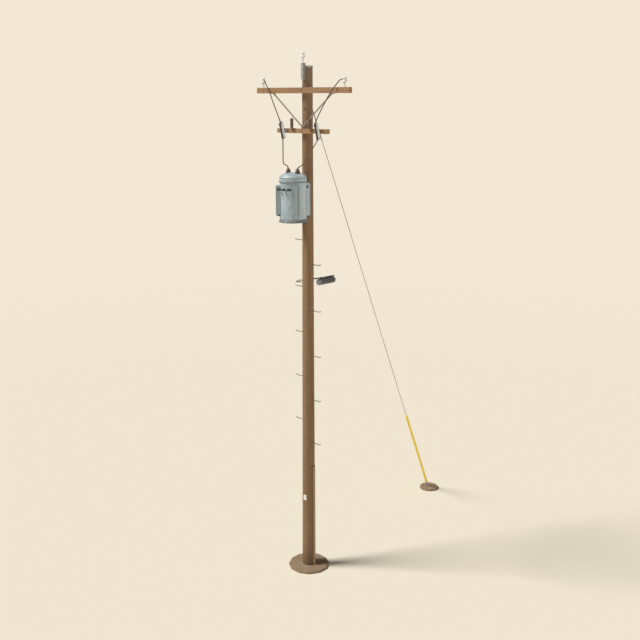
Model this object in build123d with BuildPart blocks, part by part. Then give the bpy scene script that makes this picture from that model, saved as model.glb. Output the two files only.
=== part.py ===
from build123d import *
import os
from math import atan2, cos, degrees, hypot, pi, radians, sin, sqrt, tan

# Wooden distribution pole with two crossarms, pin insulators, fused cutouts,
# arresters, a pole-mounted transformer, climbing steps, a splice closure on its
# strand, a ground-wire guard, a tag, a ground collar and a down guy with guard,
# rod and anchor collar.
#
# Frame: millimetres, +Z up, origin at the middle of the pole's flat butt face at
# ground level. +X runs along the crossarms, -Y is the equipment side of the pole
# and +Y is the guy side.

os.makedirs("parts", exist_ok=True)

# ------------------------------------------------------------------ dimensions
# pole
POLE_TOP = 10082.0
POLE_R_TOP = 97.6
POLE_R_BUTT = 133.4
CAP_SKIRT = 26.0
CAP_WALL = 4.0
CAP_TOP = 5.0
FIT = 0.06            # air left between a part and the round of the pole

# pole-top bracket, pins and insulators
BRACKET_Z = (9842.0, 10133.0)
BRACKET_Y = (-158.0, -88.0)
BRACKET_HALF = 28.0
BRACKET_T = 6.0
PIN_R = 13.0
TOP_PIN_Y = -131.0
TOP_INSULATOR_Z = 10212.0
ARM_INSULATOR_Z = 9772.0
ARM_PIN_X = 947.0

# crossarms
UPPER_HALF = 1074.5
UPPER_Z = 9651.0
UPPER_H = 103.4
UPPER_Y = (-185.0, -91.0)
LOWER_HALF = 587.0
LOWER_Z = 8923.0
LOWER_H = 83.0
LOWER_Y = (-179.0, -93.0)
ARM_EDGE = 4.0

# braces between the arms
BRACE_X = 688.0
BRACE_Y = -153.5      # where the two straps lap at the foot
BRACE_W = 27.0
BRACE_T = 6.0

# fused cutouts, leaning out from the lower arm
CUT_X = 411.0
CUT_LEAN = 15.4       # degrees from upright, top towards -Y
CUT_Y = -216.0        # insulator axis at the height CUT_Z
CUT_Z = 8940.0
CUT_HALF = 132.0      # half length of the insulator body
TUBE_OUT = 58.0       # fuse tube axis in front of the insulator axis
TUBE_R = 15.0
HINGE_R = 4.0
LOWER_TERM = (-36.0, -180.0, 8784.0)   # lower terminal: x from the tube, y, z
UPPER_TERM = (38.0, 168.0, 10.0)       # upper ball: outwards, up the body, radius

# arresters
ARR_X = 209.0
ARR_Y = -207.0
ARR_H = 184.0

# transformer
TR_Y = -440.0
TR_R = 248.0
TR_Z = (7300.0, 8012.0)
LID_R = 254.0
LID_EDGE_Z = 8095.0
LID_TOP_Z = 8184.0
RAD_R = 322.0
RAD_W = 104.0
RAD_Z = (7385.0, 7956.0)
RAD_TOP_HIGH = 8002.0  # the panel beside the pole on the right is taller
RAD_ANGLES = (49.0, 139.0, 225.0, 319.0)
HV_X = 109.0
HV_Z = 8256.0        # centre of the ball terminal
HV_BALL = 11.0
LV_X = 114.0
LV_Z = 7887.0
LV_TIP_Y = -746.0
HANGER_Z = (7318.0, 7930.0)

# wires
JUMPER_R = 9.0
GUY_R = 6.5
STRAND_R = 10.0       # the strand with the cable lashed to it

# steps
STEP_R = 9.5
STEP_TIP_X = 312.0
STEP_RISE = 18.0
STEP_PITCH = 914.4
STEP_LEFT_Z = 3207.0
STEP_RIGHT_Z = 2750.0

# ground-wire guard and tag
GUARD_HALF_W = 53.0
GUARD_PROUD = 26.0
GUARD_Z = (50.0, 2250.0)
TAG_W = 78.0
TAG_Z = (1514.0, 1622.0)
TAG_T = 3.0

# messenger clamp and splice closure
STRAND_X = -206.0
STRAND_Z = 6050.0
STRAND_DROP = 3.6     # degrees down, away along +Y
CLOSURE_R = 64.0
CLOSURE_Y = (598.0, 1122.0)
CLOSURE_Z = (5923.0, 5903.0)    # axis height at the near and the far end
CLOSURE_CAP = 34.0

# ground collar, guy and anchor
COLLAR_R = 418.0
COLLAR_T = 50.0
GUY_TOP = (0.0, 142.0, 9324.0)
ANCHOR_Y = 4812.0
ANCHOR_COLLAR = (62.0, 4822.0)   # the mound sits a little to one side of the rod
ANCHOR_R = 232.0
ANCHOR_EYE_Z = 128.0
GUY_GUARD_L = 2290.0
GUY_GUARD_R = 30.0


def pole_r(z):
    """Radius of the pole at height z."""
    return POLE_R_BUTT + (POLE_R_TOP - POLE_R_BUTT) * min(z, POLE_TOP) / POLE_TOP


def pole_cut(extra=FIT):
    """The pole's round, a little larger, to cut parts that sit against it."""
    return Cone(
        POLE_R_BUTT + extra,
        POLE_R_TOP + extra,
        POLE_TOP,
        align=(Align.CENTER, Align.CENTER, Align.MIN),
        mode=Mode.PRIVATE,
    )


# ------------------------------------------------------------------------ pole
with BuildPart() as pole:
    with BuildSketch(Plane.XZ):
        with BuildLine():
            Polyline(
                (0, 0),
                (POLE_R_BUTT, 0),
                (pole_r(POLE_TOP - CAP_SKIRT), POLE_TOP - CAP_SKIRT),
                (POLE_R_TOP, POLE_TOP - 6),
                (POLE_R_TOP - 6, POLE_TOP),
                (0, POLE_TOP),
                close=True,
            )
        make_face()
    revolve(axis=Axis.Z)
    # flat gains that the two arms bear against
    with Locations((0, UPPER_Y[1] - 100, UPPER_Z)):
        Box(400, 200, UPPER_H + 4, mode=Mode.SUBTRACT)
    with Locations((0, LOWER_Y[1] - 100, LOWER_Z)):
        Box(400, 200, LOWER_H + 4, mode=Mode.SUBTRACT)

with BuildPart() as pole_cap:
    with BuildSketch(Plane.XZ):
        with BuildLine():
            Polyline(
                (0, POLE_TOP + 0.1),
                (POLE_R_TOP + 0.6, POLE_TOP + 0.1),
                (POLE_R_TOP + 0.6, POLE_TOP - CAP_SKIRT),
                (POLE_R_TOP + 0.6 + CAP_WALL, POLE_TOP - CAP_SKIRT),
                (POLE_R_TOP + 0.6 + CAP_WALL, POLE_TOP + CAP_TOP - 1),
                (POLE_R_TOP - 1, POLE_TOP + CAP_TOP + 3),
                (0, POLE_TOP + CAP_TOP + 6),
                close=True,
            )
        make_face()
    revolve(axis=Axis.Z)

# ------------------------------------------------------- pole-top pin bracket
with BuildPart() as pole_top_bracket:
    bz = (BRACKET_Z[0] + BRACKET_Z[1]) / 2
    bh = BRACKET_Z[1] - BRACKET_Z[0]
    with Locations((0, BRACKET_Y[0] + BRACKET_T / 2, bz)):
        Box(2 * BRACKET_HALF, BRACKET_T, bh)
    with Locations(
        (-BRACKET_HALF + BRACKET_T / 2, (BRACKET_Y[0] + BRACKET_Y[1]) / 2, bz),
        (BRACKET_HALF - BRACKET_T / 2, (BRACKET_Y[0] + BRACKET_Y[1]) / 2, bz),
    ):
        Box(BRACKET_T, BRACKET_Y[1] - BRACKET_Y[0], bh)
    with Locations((0, (BRACKET_Y[0] - 104) / 2, BRACKET_Z[1] - 4)):
        Box(2 * BRACKET_HALF, -104 - BRACKET_Y[0], 8)
    # two through-bolt heads on the web
    for zb in (9905.0, 10035.0):
        with BuildSketch(Plane.XZ.offset(-BRACKET_Y[0])):
            with Locations((0, zb)):
                RegularPolygon(13, 6)
        extrude(amount=9)
    with Locations((0, TOP_PIN_Y, BRACKET_Z[1] - 4)):
        Cylinder(PIN_R + 0.05, 30, mode=Mode.SUBTRACT)
    add(pole_cut(), mode=Mode.SUBTRACT)
    # room for the cap's skirt
    with Locations((0, 0, POLE_TOP - CAP_SKIRT / 2)):
        Cylinder(POLE_R_TOP + CAP_WALL + 1.2, CAP_SKIRT + 30, mode=Mode.SUBTRACT)

with BuildPart() as top_pin:
    with Locations((0, TOP_PIN_Y, BRACKET_Z[1] - 14)):
        Cylinder(
            PIN_R,
            TOP_INSULATOR_Z - BRACKET_Z[1] + 14,
            align=(Align.CENTER, Align.CENTER, Align.MIN),
        )
    with Locations((0, TOP_PIN_Y, BRACKET_Z[1])):
        Cylinder(
            PIN_R + 9, 8, align=(Align.CENTER, Align.CENTER, Align.MIN)
        )

# pin-type insulator profile (radius, height): skirt, petticoats, tie groove, crown
INSULATOR = [
    (0, 0),
    (28, 0),
    (30, 5),
    (25, 18),
    (25, 25),
    (44, 28),
    (46, 33),
    (41, 46),
    (33, 56),
    (30, 62),
    (26, 66),
    (26, 77),
    (33, 82),
    (36, 91),
    (34, 101),
    (24, 110),
    (10, 113.5),
    (0, 114),
]

with BuildPart() as top_insulator:
    with BuildSketch(Plane.XZ.offset(-TOP_PIN_Y)):
        with BuildLine():
            Polyline(*[(r, TOP_INSULATOR_Z + h) for r, h in INSULATOR], close=True)
        make_face()
    revolve(axis=Axis((0, TOP_PIN_Y, 0), (0, 0, 1)))

# ------------------------------------------------------------------- upper arm
ARM_MID_Y = (UPPER_Y[0] + UPPER_Y[1]) / 2
UPPER_TOP = UPPER_Z + UPPER_H / 2
with BuildPart() as upper_crossarm:
    with Locations((0, ARM_MID_Y, UPPER_Z)):
        Box(2 * UPPER_HALF, UPPER_Y[1] - UPPER_Y[0], UPPER_H)
    chamfer(upper_crossarm.edges().filter_by(Axis.X), ARM_EDGE)
    # holes for the two steel pins
    with Locations(
        (-ARM_PIN_X, ARM_MID_Y, UPPER_TOP), (ARM_PIN_X, ARM_MID_Y, UPPER_TOP)
    ):
        Cylinder(PIN_R - 2.95, 60, mode=Mode.SUBTRACT)

with BuildPart() as insulator_pins:
    for side in (-1, 1):
        with Locations((side * ARM_PIN_X, ARM_MID_Y, UPPER_TOP)):
            Cylinder(
                PIN_R,
                ARM_INSULATOR_Z - UPPER_TOP,
                align=(Align.CENTER, Align.CENTER, Align.MIN),
            )
            Cylinder(PIN_R + 10, 9, align=(Align.CENTER, Align.CENTER, Align.MIN))
        with Locations((side * ARM_PIN_X, ARM_MID_Y, UPPER_TOP - 29)):
            Cylinder(
                PIN_R - 3, 30, align=(Align.CENTER, Align.CENTER, Align.MIN)
            )

with BuildPart() as insulator_left:
    with BuildSketch(Plane.XZ.offset(-ARM_MID_Y)):
        with BuildLine():
            Polyline(
                *[(-ARM_PIN_X + r, ARM_INSULATOR_Z + h) for r, h in INSULATOR],
                close=True,
            )
        make_face()
    revolve(axis=Axis((-ARM_PIN_X, ARM_MID_Y, 0), (0, 0, 1)))

with BuildPart() as insulator_right:
    mirror(insulator_left.part, about=Plane.YZ)

# ---------------------------------------------------------------------- braces
UPPER_UNDER = UPPER_Z - UPPER_H / 2
LOWER_TOP = LOWER_Z + LOWER_H / 2
FOOT_Z = LOWER_TOP + 30.0
BRACE_RUN = atan2(UPPER_UNDER - FOOT_Z, BRACE_X)
BRACE_HALF = BRACE_W / 2 / sin(BRACE_RUN)

with BuildPart() as brace_right:
    # sloping flat strap, round at the foot, cut level under the arm
    with BuildSketch(Plane.XZ.offset(-BRACE_Y)):
        with BuildLine():
            Polyline(
                (-BRACE_HALF, FOOT_Z),
                (BRACE_HALF, FOOT_Z),
                (BRACE_X + BRACE_HALF, UPPER_UNDER),
                (BRACE_X - BRACE_HALF, UPPER_UNDER),
                close=True,
            )
        make_face()
        with Locations((0, FOOT_Z)):
            Circle(BRACE_W / 2 + 4)
    extrude(amount=BRACE_T)
    # bolt at the foot, through both straps
    with BuildSketch(Plane.XZ.offset(-BRACE_Y + BRACE_T)):
        with Locations((0, FOOT_Z)):
            RegularPolygon(11, 6)
    extrude(amount=8)
    # pad that lies flat under the upper arm, with its lag bolt head
    with Locations((BRACE_X, BRACE_Y, UPPER_UNDER - 3)):
        Box(92, 44, 6)
    with Locations((BRACE_X + 30, BRACE_Y + 8, UPPER_UNDER - 6)):
        Cylinder(9, 7, align=(Align.CENTER, Align.CENTER, Align.MAX))

with BuildPart() as brace_left:
    with BuildSketch(Plane.XZ.offset(-BRACE_Y - 0.1)):
        with BuildLine():
            Polyline(
                (-BRACE_HALF, FOOT_Z),
                (BRACE_HALF, FOOT_Z),
                (-BRACE_X + BRACE_HALF, UPPER_UNDER),
                (-BRACE_X - BRACE_HALF, UPPER_UNDER),
                close=True,
            )
        make_face()
        with Locations((0, FOOT_Z)):
            Circle(BRACE_W / 2 + 4)
    extrude(amount=-BRACE_T)
    with Locations((-BRACE_X, BRACE_Y, UPPER_UNDER - 3)):
        Box(92, 44, 6)
    with Locations((-BRACE_X - 30, BRACE_Y - 8, UPPER_UNDER - 6)):
        Cylinder(9, 7, align=(Align.CENTER, Align.CENTER, Align.MAX))

with BuildPart() as brace_foot:
    # angle on top of the lower arm, standing behind the lapped straps
    with Locations((0, BRACE_Y + 0.2 + BRACE_T + 3, LOWER_TOP + 30)):
        Box(72, 6, 60)
    with Locations((0, BRACE_Y + 0.2 + BRACE_T + 18, LOWER_TOP + 3)):
        Box(72, 36, 6)
    with Locations(
        (-24, BRACE_Y + 0.2 + BRACE_T + 22, LOWER_TOP + 6),
        (24, BRACE_Y + 0.2 + BRACE_T + 22, LOWER_TOP + 6),
    ):
        Cylinder(8, 7, align=(Align.CENTER, Align.CENTER, Align.MIN))

# ------------------------------------------------------------------- lower arm
LOWER_MID_Y = (LOWER_Y[0] + LOWER_Y[1]) / 2
with BuildPart() as lower_crossarm:
    with Locations((0, LOWER_MID_Y, LOWER_Z)):
        Box(2 * LOWER_HALF, LOWER_Y[1] - LOWER_Y[0], LOWER_H)
    chamfer(lower_crossarm.edges().filter_by(Axis.X), ARM_EDGE)

# --------------------------------------------------------------------- cutouts
# A leaning plane through each cutout: local x = +X, local z runs up the body,
# local y = away from the pole (towards -Y), square to the body.
LEAN = radians(CUT_LEAN)


def cut_plane(x):
    return Plane(
        origin=(x, CUT_Y, CUT_Z),
        x_dir=(1, 0, 0),
        z_dir=(0, -sin(LEAN), cos(LEAN)),
    )


# cutout body profile (radius, height along the body): sheds above and below a
# slim waist that the bracket band grips
BODY = [
    (0, -CUT_HALF),
    (19, -CUT_HALF),
    (19, -118),
    (27, -114),
    (26, -110),
    (19, -104),
    (19, -98),
    (27, -94),
    (26, -90),
    (19, -84),
    (19, -78),
    (26, -74),
    (25, -70),
    (19, -64),
    (19, 44),
    (27, 48),
    (26, 52),
    (19, 58),
    (19, 64),
    (27, 68),
    (26, 72),
    (19, 78),
    (19, 84),
    (27, 88),
    (26, 92),
    (19, 98),
    (19, 104),
    (27, 108),
    (26, 112),
    (19, 118),
    (19, CUT_HALF),
    (0, CUT_HALF),
]

with BuildPart() as cutout_insulator_left:
    cp = cut_plane(-CUT_X)
    with BuildSketch(Plane(origin=cp.origin, x_dir=cp.x_dir, z_dir=-cp.y_dir)):
        with BuildLine():
            Polyline(*BODY, close=True)
        make_face()
    revolve(axis=Axis(cp.origin, cp.z_dir))

with BuildPart() as cutout_insulator_right:
    mirror(cutout_insulator_left.part, about=Plane.YZ)

# hinge point of each fuse tube and the top of its travel, in the leaning frame
HINGE_H = -CUT_HALF - 16.0
TUBE_TOP_H = CUT_HALF + 4.0

with BuildPart() as cutout_castings:
    for side in (-1, 1):
        cp = cut_plane(side * CUT_X)
        out = -1 if cp.y_dir.Y > 0 else 1
        # upper contact: a cap on the body with a hood reaching over the tube
        with BuildSketch(cp.offset(CUT_HALF)):
            Circle(20)
        extrude(amount=22)
        with BuildSketch(cp.offset(CUT_HALF + 12)):
            with Locations((0, out * TUBE_OUT / 2)):
                Rectangle(26, TUBE_OUT + 26)
        extrude(amount=10)
        # lower casting: a cap under the body and two cheeks with the hinge pin
        with BuildSketch(cp.offset(-CUT_HALF)):
            Circle(20)
        extrude(amount=-24)
        for ear in (-1, 1):
            with BuildSketch(cp.offset(HINGE_H - 12)):
                with Locations((ear * 19.5, out * (TUBE_OUT / 2))):
                    Rectangle(5, TUBE_OUT + 24)
            extrude(amount=24)
        with BuildSketch(cp.offset(HINGE_H - 8)):
            Rectangle(44, 26)
        extrude(amount=16)
        # lower terminal bar, out to the -X side, and the upper ball terminal
        with Locations((side * CUT_X + LOWER_TERM[0] + 12, LOWER_TERM[1], LOWER_TERM[2] + 7.1)):
            Box(46, 22, 14)
        with BuildSketch(cp.offset(CUT_HALF + 20)):
            with Locations((0, out * UPPER_TERM[0])):
                Circle(8)
        extrude(amount=UPPER_TERM[1] - CUT_HALF - 20)
        ball = cp.from_local_coords(Vector(0, out * UPPER_TERM[0], UPPER_TERM[1]))
        with Locations(ball):
            Sphere(UPPER_TERM[2])
        hinge = cp.from_local_coords(Vector(0, out * TUBE_OUT, HINGE_H))
        with BuildSketch(Plane(origin=hinge, x_dir=(0, 1, 0), z_dir=(1, 0, 0)).offset(-26)):
            Circle(HINGE_R)
        extrude(amount=52)

HINGE = {}
for name_, side_ in (("left", -1), ("right", 1)):
    cp_ = cut_plane(side_ * CUT_X)
    out_ = -1 if cp_.y_dir.Y > 0 else 1
    HINGE[name_] = cp_.from_local_coords(Vector(0, out_ * TUBE_OUT, HINGE_H))

with BuildPart() as fuse_tube_left:
    cp = cut_plane(-CUT_X)
    out = -1 if cp.y_dir.Y > 0 else 1
    # hinge barrel, tube, and the pull ring's ferrule at the top
    with BuildSketch(Plane(origin=HINGE["left"], x_dir=(0, 1, 0), z_dir=(1, 0, 0)).offset(-15)):
        Circle(10)
    extrude(amount=30)
    with BuildSketch(cp.offset(HINGE_H + 4)):
        with Locations((0, out * TUBE_OUT)):
            Circle(TUBE_R)
    extrude(amount=TUBE_TOP_H - HINGE_H - 4)
    with BuildSketch(cp.offset(TUBE_TOP_H - 34)):
        with Locations((0, out * TUBE_OUT)):
            Circle(TUBE_R + 3)
    extrude(amount=26)
    with BuildSketch(Plane(origin=HINGE["left"], x_dir=(0, 1, 0), z_dir=(1, 0, 0)).offset(-20)):
        Circle(HINGE_R + 0.06)
    extrude(amount=40, mode=Mode.SUBTRACT)

with BuildPart() as fuse_tube_right:
    mirror(fuse_tube_left.part, about=Plane.YZ)

with BuildPart() as cutout_brackets:
    for side in (-1, 1):
        cp = cut_plane(side * CUT_X)
        # band around the waist of the body
        with BuildSketch(cp.offset(-6)):
            Circle(24)
            Circle(19.05, mode=Mode.SUBTRACT)
        extrude(amount=22)
        # plate bolted to the front of the arm, and a web to the band
        with Locations((side * (CUT_X - 44), LOWER_Y[0] - 3, LOWER_Z)):
            Box(50, 6, 66)
        with Locations((side * (CUT_X - 30), LOWER_Y[0] - 18, LOWER_Z + 10)):
            Box(26, 30, 20)
        with BuildSketch(Plane.XZ.offset(-LOWER_Y[0] + 6)):
            with Locations(
                (side * (CUT_X - 54), LOWER_Z + 22), (side * (CUT_X - 54), LOWER_Z - 22)
            ):
                RegularPolygon(8, 6)
        extrude(amount=6)
        with BuildSketch(cp.offset(-CUT_HALF)):
            Circle(19.05)
        extrude(amount=2 * CUT_HALF, mode=Mode.SUBTRACT)

# ------------------------------------------------------------------- arresters
ARRESTER = [
    (0, 0),
    (27, 0),
    (27, 12),
    (26, 14),
    (26, 40),
    (34, 45),
    (34, 51),
    (27, 58),
    (27, 72),
    (35, 77),
    (35, 83),
    (27, 90),
    (26, 104),
    (33, 109),
    (33, 115),
    (26, 122),
    (26, 132),
    (31, 140),
    (32, 156),
    (28, 170),
    (17, 180),
    (8, 183),
    (8, ARR_H + 8),
    (0, ARR_H + 8),
]
with BuildPart() as arrester_left:
    with BuildSketch(Plane.XZ.offset(-ARR_Y)):
        with BuildLine():
            Polyline(
                *[(-ARR_X + r, LOWER_TOP + 6 + h) for r, h in ARRESTER], close=True
            )
        make_face()
    revolve(axis=Axis((-ARR_X, ARR_Y, 0), (0, 0, 1)))

with BuildPart() as arrester_right:
    mirror(arrester_left.part, about=Plane.YZ)

with BuildPart() as arrester_brackets:
    for side in (-1, 1):
        # plate on the arm's top that carries the arrester out in front
        with Locations((side * ARR_X, (ARR_Y - 34 - 118) / 2, LOWER_TOP + 3)):
            Box(52, -118 - (ARR_Y - 34), 6)
        with Locations((side * ARR_X, LOWER_Y[0] - 3.05, LOWER_TOP - 22)):
            Box(52, 6, 56)

# ----------------------------------------------------------------- transformer
with BuildPart() as transformer_tank:
    with Locations((0, TR_Y, TR_Z[0])):
        Cylinder(
            TR_R, TR_Z[1] - TR_Z[0], align=(Align.CENTER, Align.CENTER, Align.MIN)
        )

# dished lid: a shallow crown and a tighter knuckle, tangent to each other
CROWN_R = (190.0**2 + 30.0**2) / 60.0
KNEE = (190.0, LID_TOP_Z - 30.0)
KNEE_DIR = (cos(radians(17.94)), -sin(radians(17.94)))


def lid_profile(lift=0.0):
    """The lid's half section in the XZ plane, raised by lift."""
    Polyline(
        (0, LID_TOP_Z + lift),
        (0, TR_Z[1]),
        (LID_R, TR_Z[1]),
        (LID_R, LID_EDGE_Z + lift),
    )
    TangentArc(
        (KNEE[0], KNEE[1] + lift), (LID_R, LID_EDGE_Z + lift), tangent=KNEE_DIR
    )
    RadiusArc((0, LID_TOP_Z + lift), (KNEE[0], KNEE[1] + lift), CROWN_R)


with BuildPart() as transformer_lid:
    with BuildSketch(Plane.XZ.offset(-TR_Y)):
        with BuildLine():
            lid_profile()
        make_face()
    revolve(axis=Axis((0, TR_Y, 0), (0, 0, 1)))

with BuildPart() as transformer_lid_band:
    with BuildSketch(Plane.XZ.offset(-TR_Y)):
        with BuildLine():
            Polyline(
                (LID_R + 0.05, TR_Z[1] - 6),
                (LID_R + 5, TR_Z[1] - 6),
                (LID_R + 9, TR_Z[1] + 2),
                (LID_R + 9, TR_Z[1] + 14),
                (LID_R + 5, TR_Z[1] + 20),
                (LID_R + 0.05, TR_Z[1] + 20),
                close=True,
            )
        make_face()
    revolve(axis=Axis((0, TR_Y, 0), (0, 0, 1)))

with BuildPart() as transformer_base_rim:
    with BuildSketch(Plane.XZ.offset(-TR_Y)):
        with BuildLine():
            Polyline(
                (TR_R + 0.05, TR_Z[0] + 34),
                (TR_R + 4, TR_Z[0] + 34),
                (TR_R + 20, TR_Z[0] - 8),
                (TR_R + 20, TR_Z[0] - 26),
                (TR_R - 14, TR_Z[0] - 26),
                (TR_R - 14, TR_Z[0]),
                (TR_R + 0.05, TR_Z[0]),
                close=True,
            )
        make_face()
    revolve(axis=Axis((0, TR_Y, 0), (0, 0, 1)))

with BuildPart() as transformer_radiators:
    for a in RAD_ANGLES:
        u = Vector(cos(radians(a)), sin(radians(a)), 0)
        top = RAD_TOP_HIGH if a == RAD_ANGLES[0] else RAD_Z[1]
        face = Plane(
            origin=(u.X * RAD_R, TR_Y + u.Y * RAD_R, (RAD_Z[0] + top) / 2),
            x_dir=(-u.Y, u.X, 0),
            z_dir=(u.X, u.Y, 0),
        )
        with BuildSketch(face):
            RectangleRounded(RAD_W, top - RAD_Z[0], 14)
        extrude(amount=-(RAD_R - 235))
    with Locations((0, TR_Y, TR_Z[0])):
        Cylinder(
            TR_R + 0.05,
            TR_Z[1] - TR_Z[0],
            align=(Align.CENTER, Align.CENTER, Align.MIN),
            mode=Mode.SUBTRACT,
        )

# high-voltage bushings: dark flange, tapering sheds, terminal stud
HV_BASE = LID_TOP_Z - CROWN_R + sqrt(CROWN_R**2 - HV_X**2)
BUSHING = [
    (0, -30),
    (42, -30),
    (50, -2),
    (50, 12),
    (42, 15),
    (38, 19),
    (46, 23),
    (45, 28),
    (36, 34),
    (34, 37),
    (43, 41),
    (42, 46),
    (33, 52),
    (31, 55),
    (39, 59),
    (38, 64),
    (28, 71),
    (19, 72.5),
    (19, 82),
    (0, 82),
]
with BuildPart() as bushing_right:
    with BuildSketch(Plane.XZ.offset(-TR_Y)):
        with BuildLine():
            Polyline(*[(HV_X + r, HV_BASE + h) for r, h in BUSHING], close=True)
        make_face()
    revolve(axis=Axis((HV_X, TR_Y, 0), (0, 0, 1)))
    with Locations((HV_X, TR_Y, HV_Z)):
        Sphere(HV_BALL)
    # the foot follows the dome
    with BuildSketch(Plane.XZ.offset(-TR_Y)):
        with BuildLine():
            lid_profile(0.05)
        make_face()
    revolve(axis=Axis((0, TR_Y, 0), (0, 0, 1)), mode=Mode.SUBTRACT)

with BuildPart() as bushing_left:
    mirror(bushing_right.part, about=Plane.YZ)

with BuildPart() as low_voltage_bushings:
    for x in (-LV_X, 0, LV_X):
        root = TR_Y - sqrt(TR_R**2 - x**2)
        with BuildSketch(Plane.XY.offset(LV_Z)):
            with BuildLine():
                Polyline(
                    (x, root + 22),
                    (x + 20, root + 22),
                    (x + 20, root - 9),
                    (x + 16, root - 12),
                    (x + 16, LV_TIP_Y + 30),
                    (x + 25, LV_TIP_Y + 26),
                    (x + 25, LV_TIP_Y + 6),
                    (x + 18, LV_TIP_Y),
                    (x, LV_TIP_Y),
                    close=True,
                )
            make_face()
        revolve(axis=Axis((x, 0, LV_Z), (0, 1, 0)))
    with Locations((0, TR_Y, TR_Z[0])):
        Cylinder(
            TR_R + 0.05,
            TR_Z[1] - TR_Z[0],
            align=(Align.CENTER, Align.CENTER, Align.MIN),
            mode=Mode.SUBTRACT,
        )

with BuildPart() as transformer_hangers:
    for z in HANGER_Z:
        # saddle on the pole, two arms to the tank, and a bolt through the pole
        with Locations((0, -104, z)):
            Box(172, 24, 58)
        with Locations((-52, -160, z), (52, -160, z)):
            Box(12, 104, 58)
    add(pole_cut(), mode=Mode.SUBTRACT)
    with Locations((0, TR_Y, TR_Z[0] - 100)):
        Cylinder(
            TR_R + 0.05,
            900,
            align=(Align.CENTER, Align.CENTER, Align.MIN),
            mode=Mode.SUBTRACT,
        )
        Cylinder(
            TR_R + 20.3,
            134.3,
            align=(Align.CENTER, Align.CENTER, Align.MIN),
            mode=Mode.SUBTRACT,
        )

# --------------------------------------------------------------------- jumpers
UPPER_JUMPER = [
    (920, -156.9, 9843.0),
    (878, -185, 9826),
    (806, -210, 9742),
    (694, -244, 9588),
    (598, -268, 9424),
    (516, -283, 9282),
    (444, -292, 9150),
    (416.1, -296.5, 9100.8),
]
LOWER_LEFT_JUMPER = [
    (-CUT_X + LOWER_TERM[0], LOWER_TERM[1], LOWER_TERM[2] - 0.2),
    (-445, -184, 8440),
    (-412, -222, 8362),
    (-330, -304, 8322),
    (-226, -378, 8306),
    (-150, -414, 8300),
    (-115.9, -435.6, 8263.8),
]
LOWER_RIGHT_JUMPER = [
    (CUT_X + LOWER_TERM[0], LOWER_TERM[1], LOWER_TERM[2] - 4.8),
    (370, -196, 8748),
    (350, -232, 8684),
    (318, -280, 8598),
    (284, -332, 8510),
    (254, -380, 8420),
    (226, -420, 8344),
    (190, -446, 8306),
    (146, -448, 8291),
    (117.4, -441.2, 8263.4),
]


def jumper_radii(pts):
    """Largest even bend at each inner corner of a wire's route."""
    radii = []
    for a, b, c in zip(pts, pts[1:], pts[2:]):
        p, q = Vector(*b) - Vector(*a), Vector(*c) - Vector(*b)
        turn = radians(p.get_angle(q))
        radii.append(0.45 * min(p.length, q.length) / tan(turn / 2))
    return radii


with BuildPart() as jumper_upper_right:
    with BuildLine() as path:
        FilletPolyline(*UPPER_JUMPER, radius=jumper_radii(UPPER_JUMPER))
    with BuildSketch(Plane(origin=path.line @ 0, z_dir=path.line % 0)):
        Circle(JUMPER_R)
    sweep()
    # tie wire round the neck of the insulator, which holds the wire's end
    with BuildSketch(Plane.XY.offset(ARM_INSULATOR_Z + 67.5)):
        with Locations((ARM_PIN_X, ARM_MID_Y)):
            Circle(35)
    extrude(amount=8)
    with BuildSketch(Plane.XY.offset(ARM_INSULATOR_Z + 40)):
        with Locations((ARM_PIN_X, ARM_MID_Y)):
            Circle(26.06)
    extrude(amount=60, mode=Mode.SUBTRACT)

with BuildPart() as jumper_upper_left:
    mirror(jumper_upper_right.part, about=Plane.YZ)

with BuildPart() as jumper_lower_left:
    with BuildLine() as path:
        FilletPolyline(*LOWER_LEFT_JUMPER, radius=jumper_radii(LOWER_LEFT_JUMPER))
    with BuildSketch(Plane(origin=path.line @ 0, z_dir=path.line % 0)):
        Circle(JUMPER_R)
    sweep()

with BuildPart() as jumper_lower_right:
    with BuildLine() as path:
        FilletPolyline(*LOWER_RIGHT_JUMPER, radius=jumper_radii(LOWER_RIGHT_JUMPER))
    with BuildSketch(Plane(origin=path.line @ 0, z_dir=path.line % 0)):
        Circle(JUMPER_R)
    sweep()

# ----------------------------------------------------------------------- steps
with BuildPart() as steps_left:
    for k in range(5):
        z = STEP_LEFT_Z + k * STEP_PITCH
        with BuildLine() as path:
            FilletPolyline(
                (-pole_r(z) + 30, 0, z),
                (-STEP_TIP_X + STEP_R, 0, z),
                (-STEP_TIP_X + STEP_R, 0, z + STEP_RISE),
                radius=14,
            )
        with BuildSketch(Plane(origin=path.line @ 0, z_dir=path.line % 0)):
            Circle(STEP_R)
        sweep()
        with BuildSketch(Plane.YZ.offset(-pole_r(z) + 4)):
            with Locations((0, z)):
                Circle(STEP_R + 7)
        extrude(amount=-10)
    add(pole_cut(), mode=Mode.SUBTRACT)

with BuildPart() as steps_right:
    for k in range(5):
        z = STEP_RIGHT_Z + k * STEP_PITCH
        with BuildLine() as path:
            FilletPolyline(
                (pole_r(z) - 30, 0, z),
                (STEP_TIP_X - STEP_R, 0, z),
                (STEP_TIP_X - STEP_R, 0, z + STEP_RISE),
                radius=14,
            )
        with BuildSketch(Plane(origin=path.line @ 0, z_dir=path.line % 0)):
            Circle(STEP_R)
        sweep()
        with BuildSketch(Plane.YZ.offset(pole_r(z) - 4)):
            with Locations((0, z)):
                Circle(STEP_R + 7)
        extrude(amount=10)
    add(pole_cut(), mode=Mode.SUBTRACT)

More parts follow.
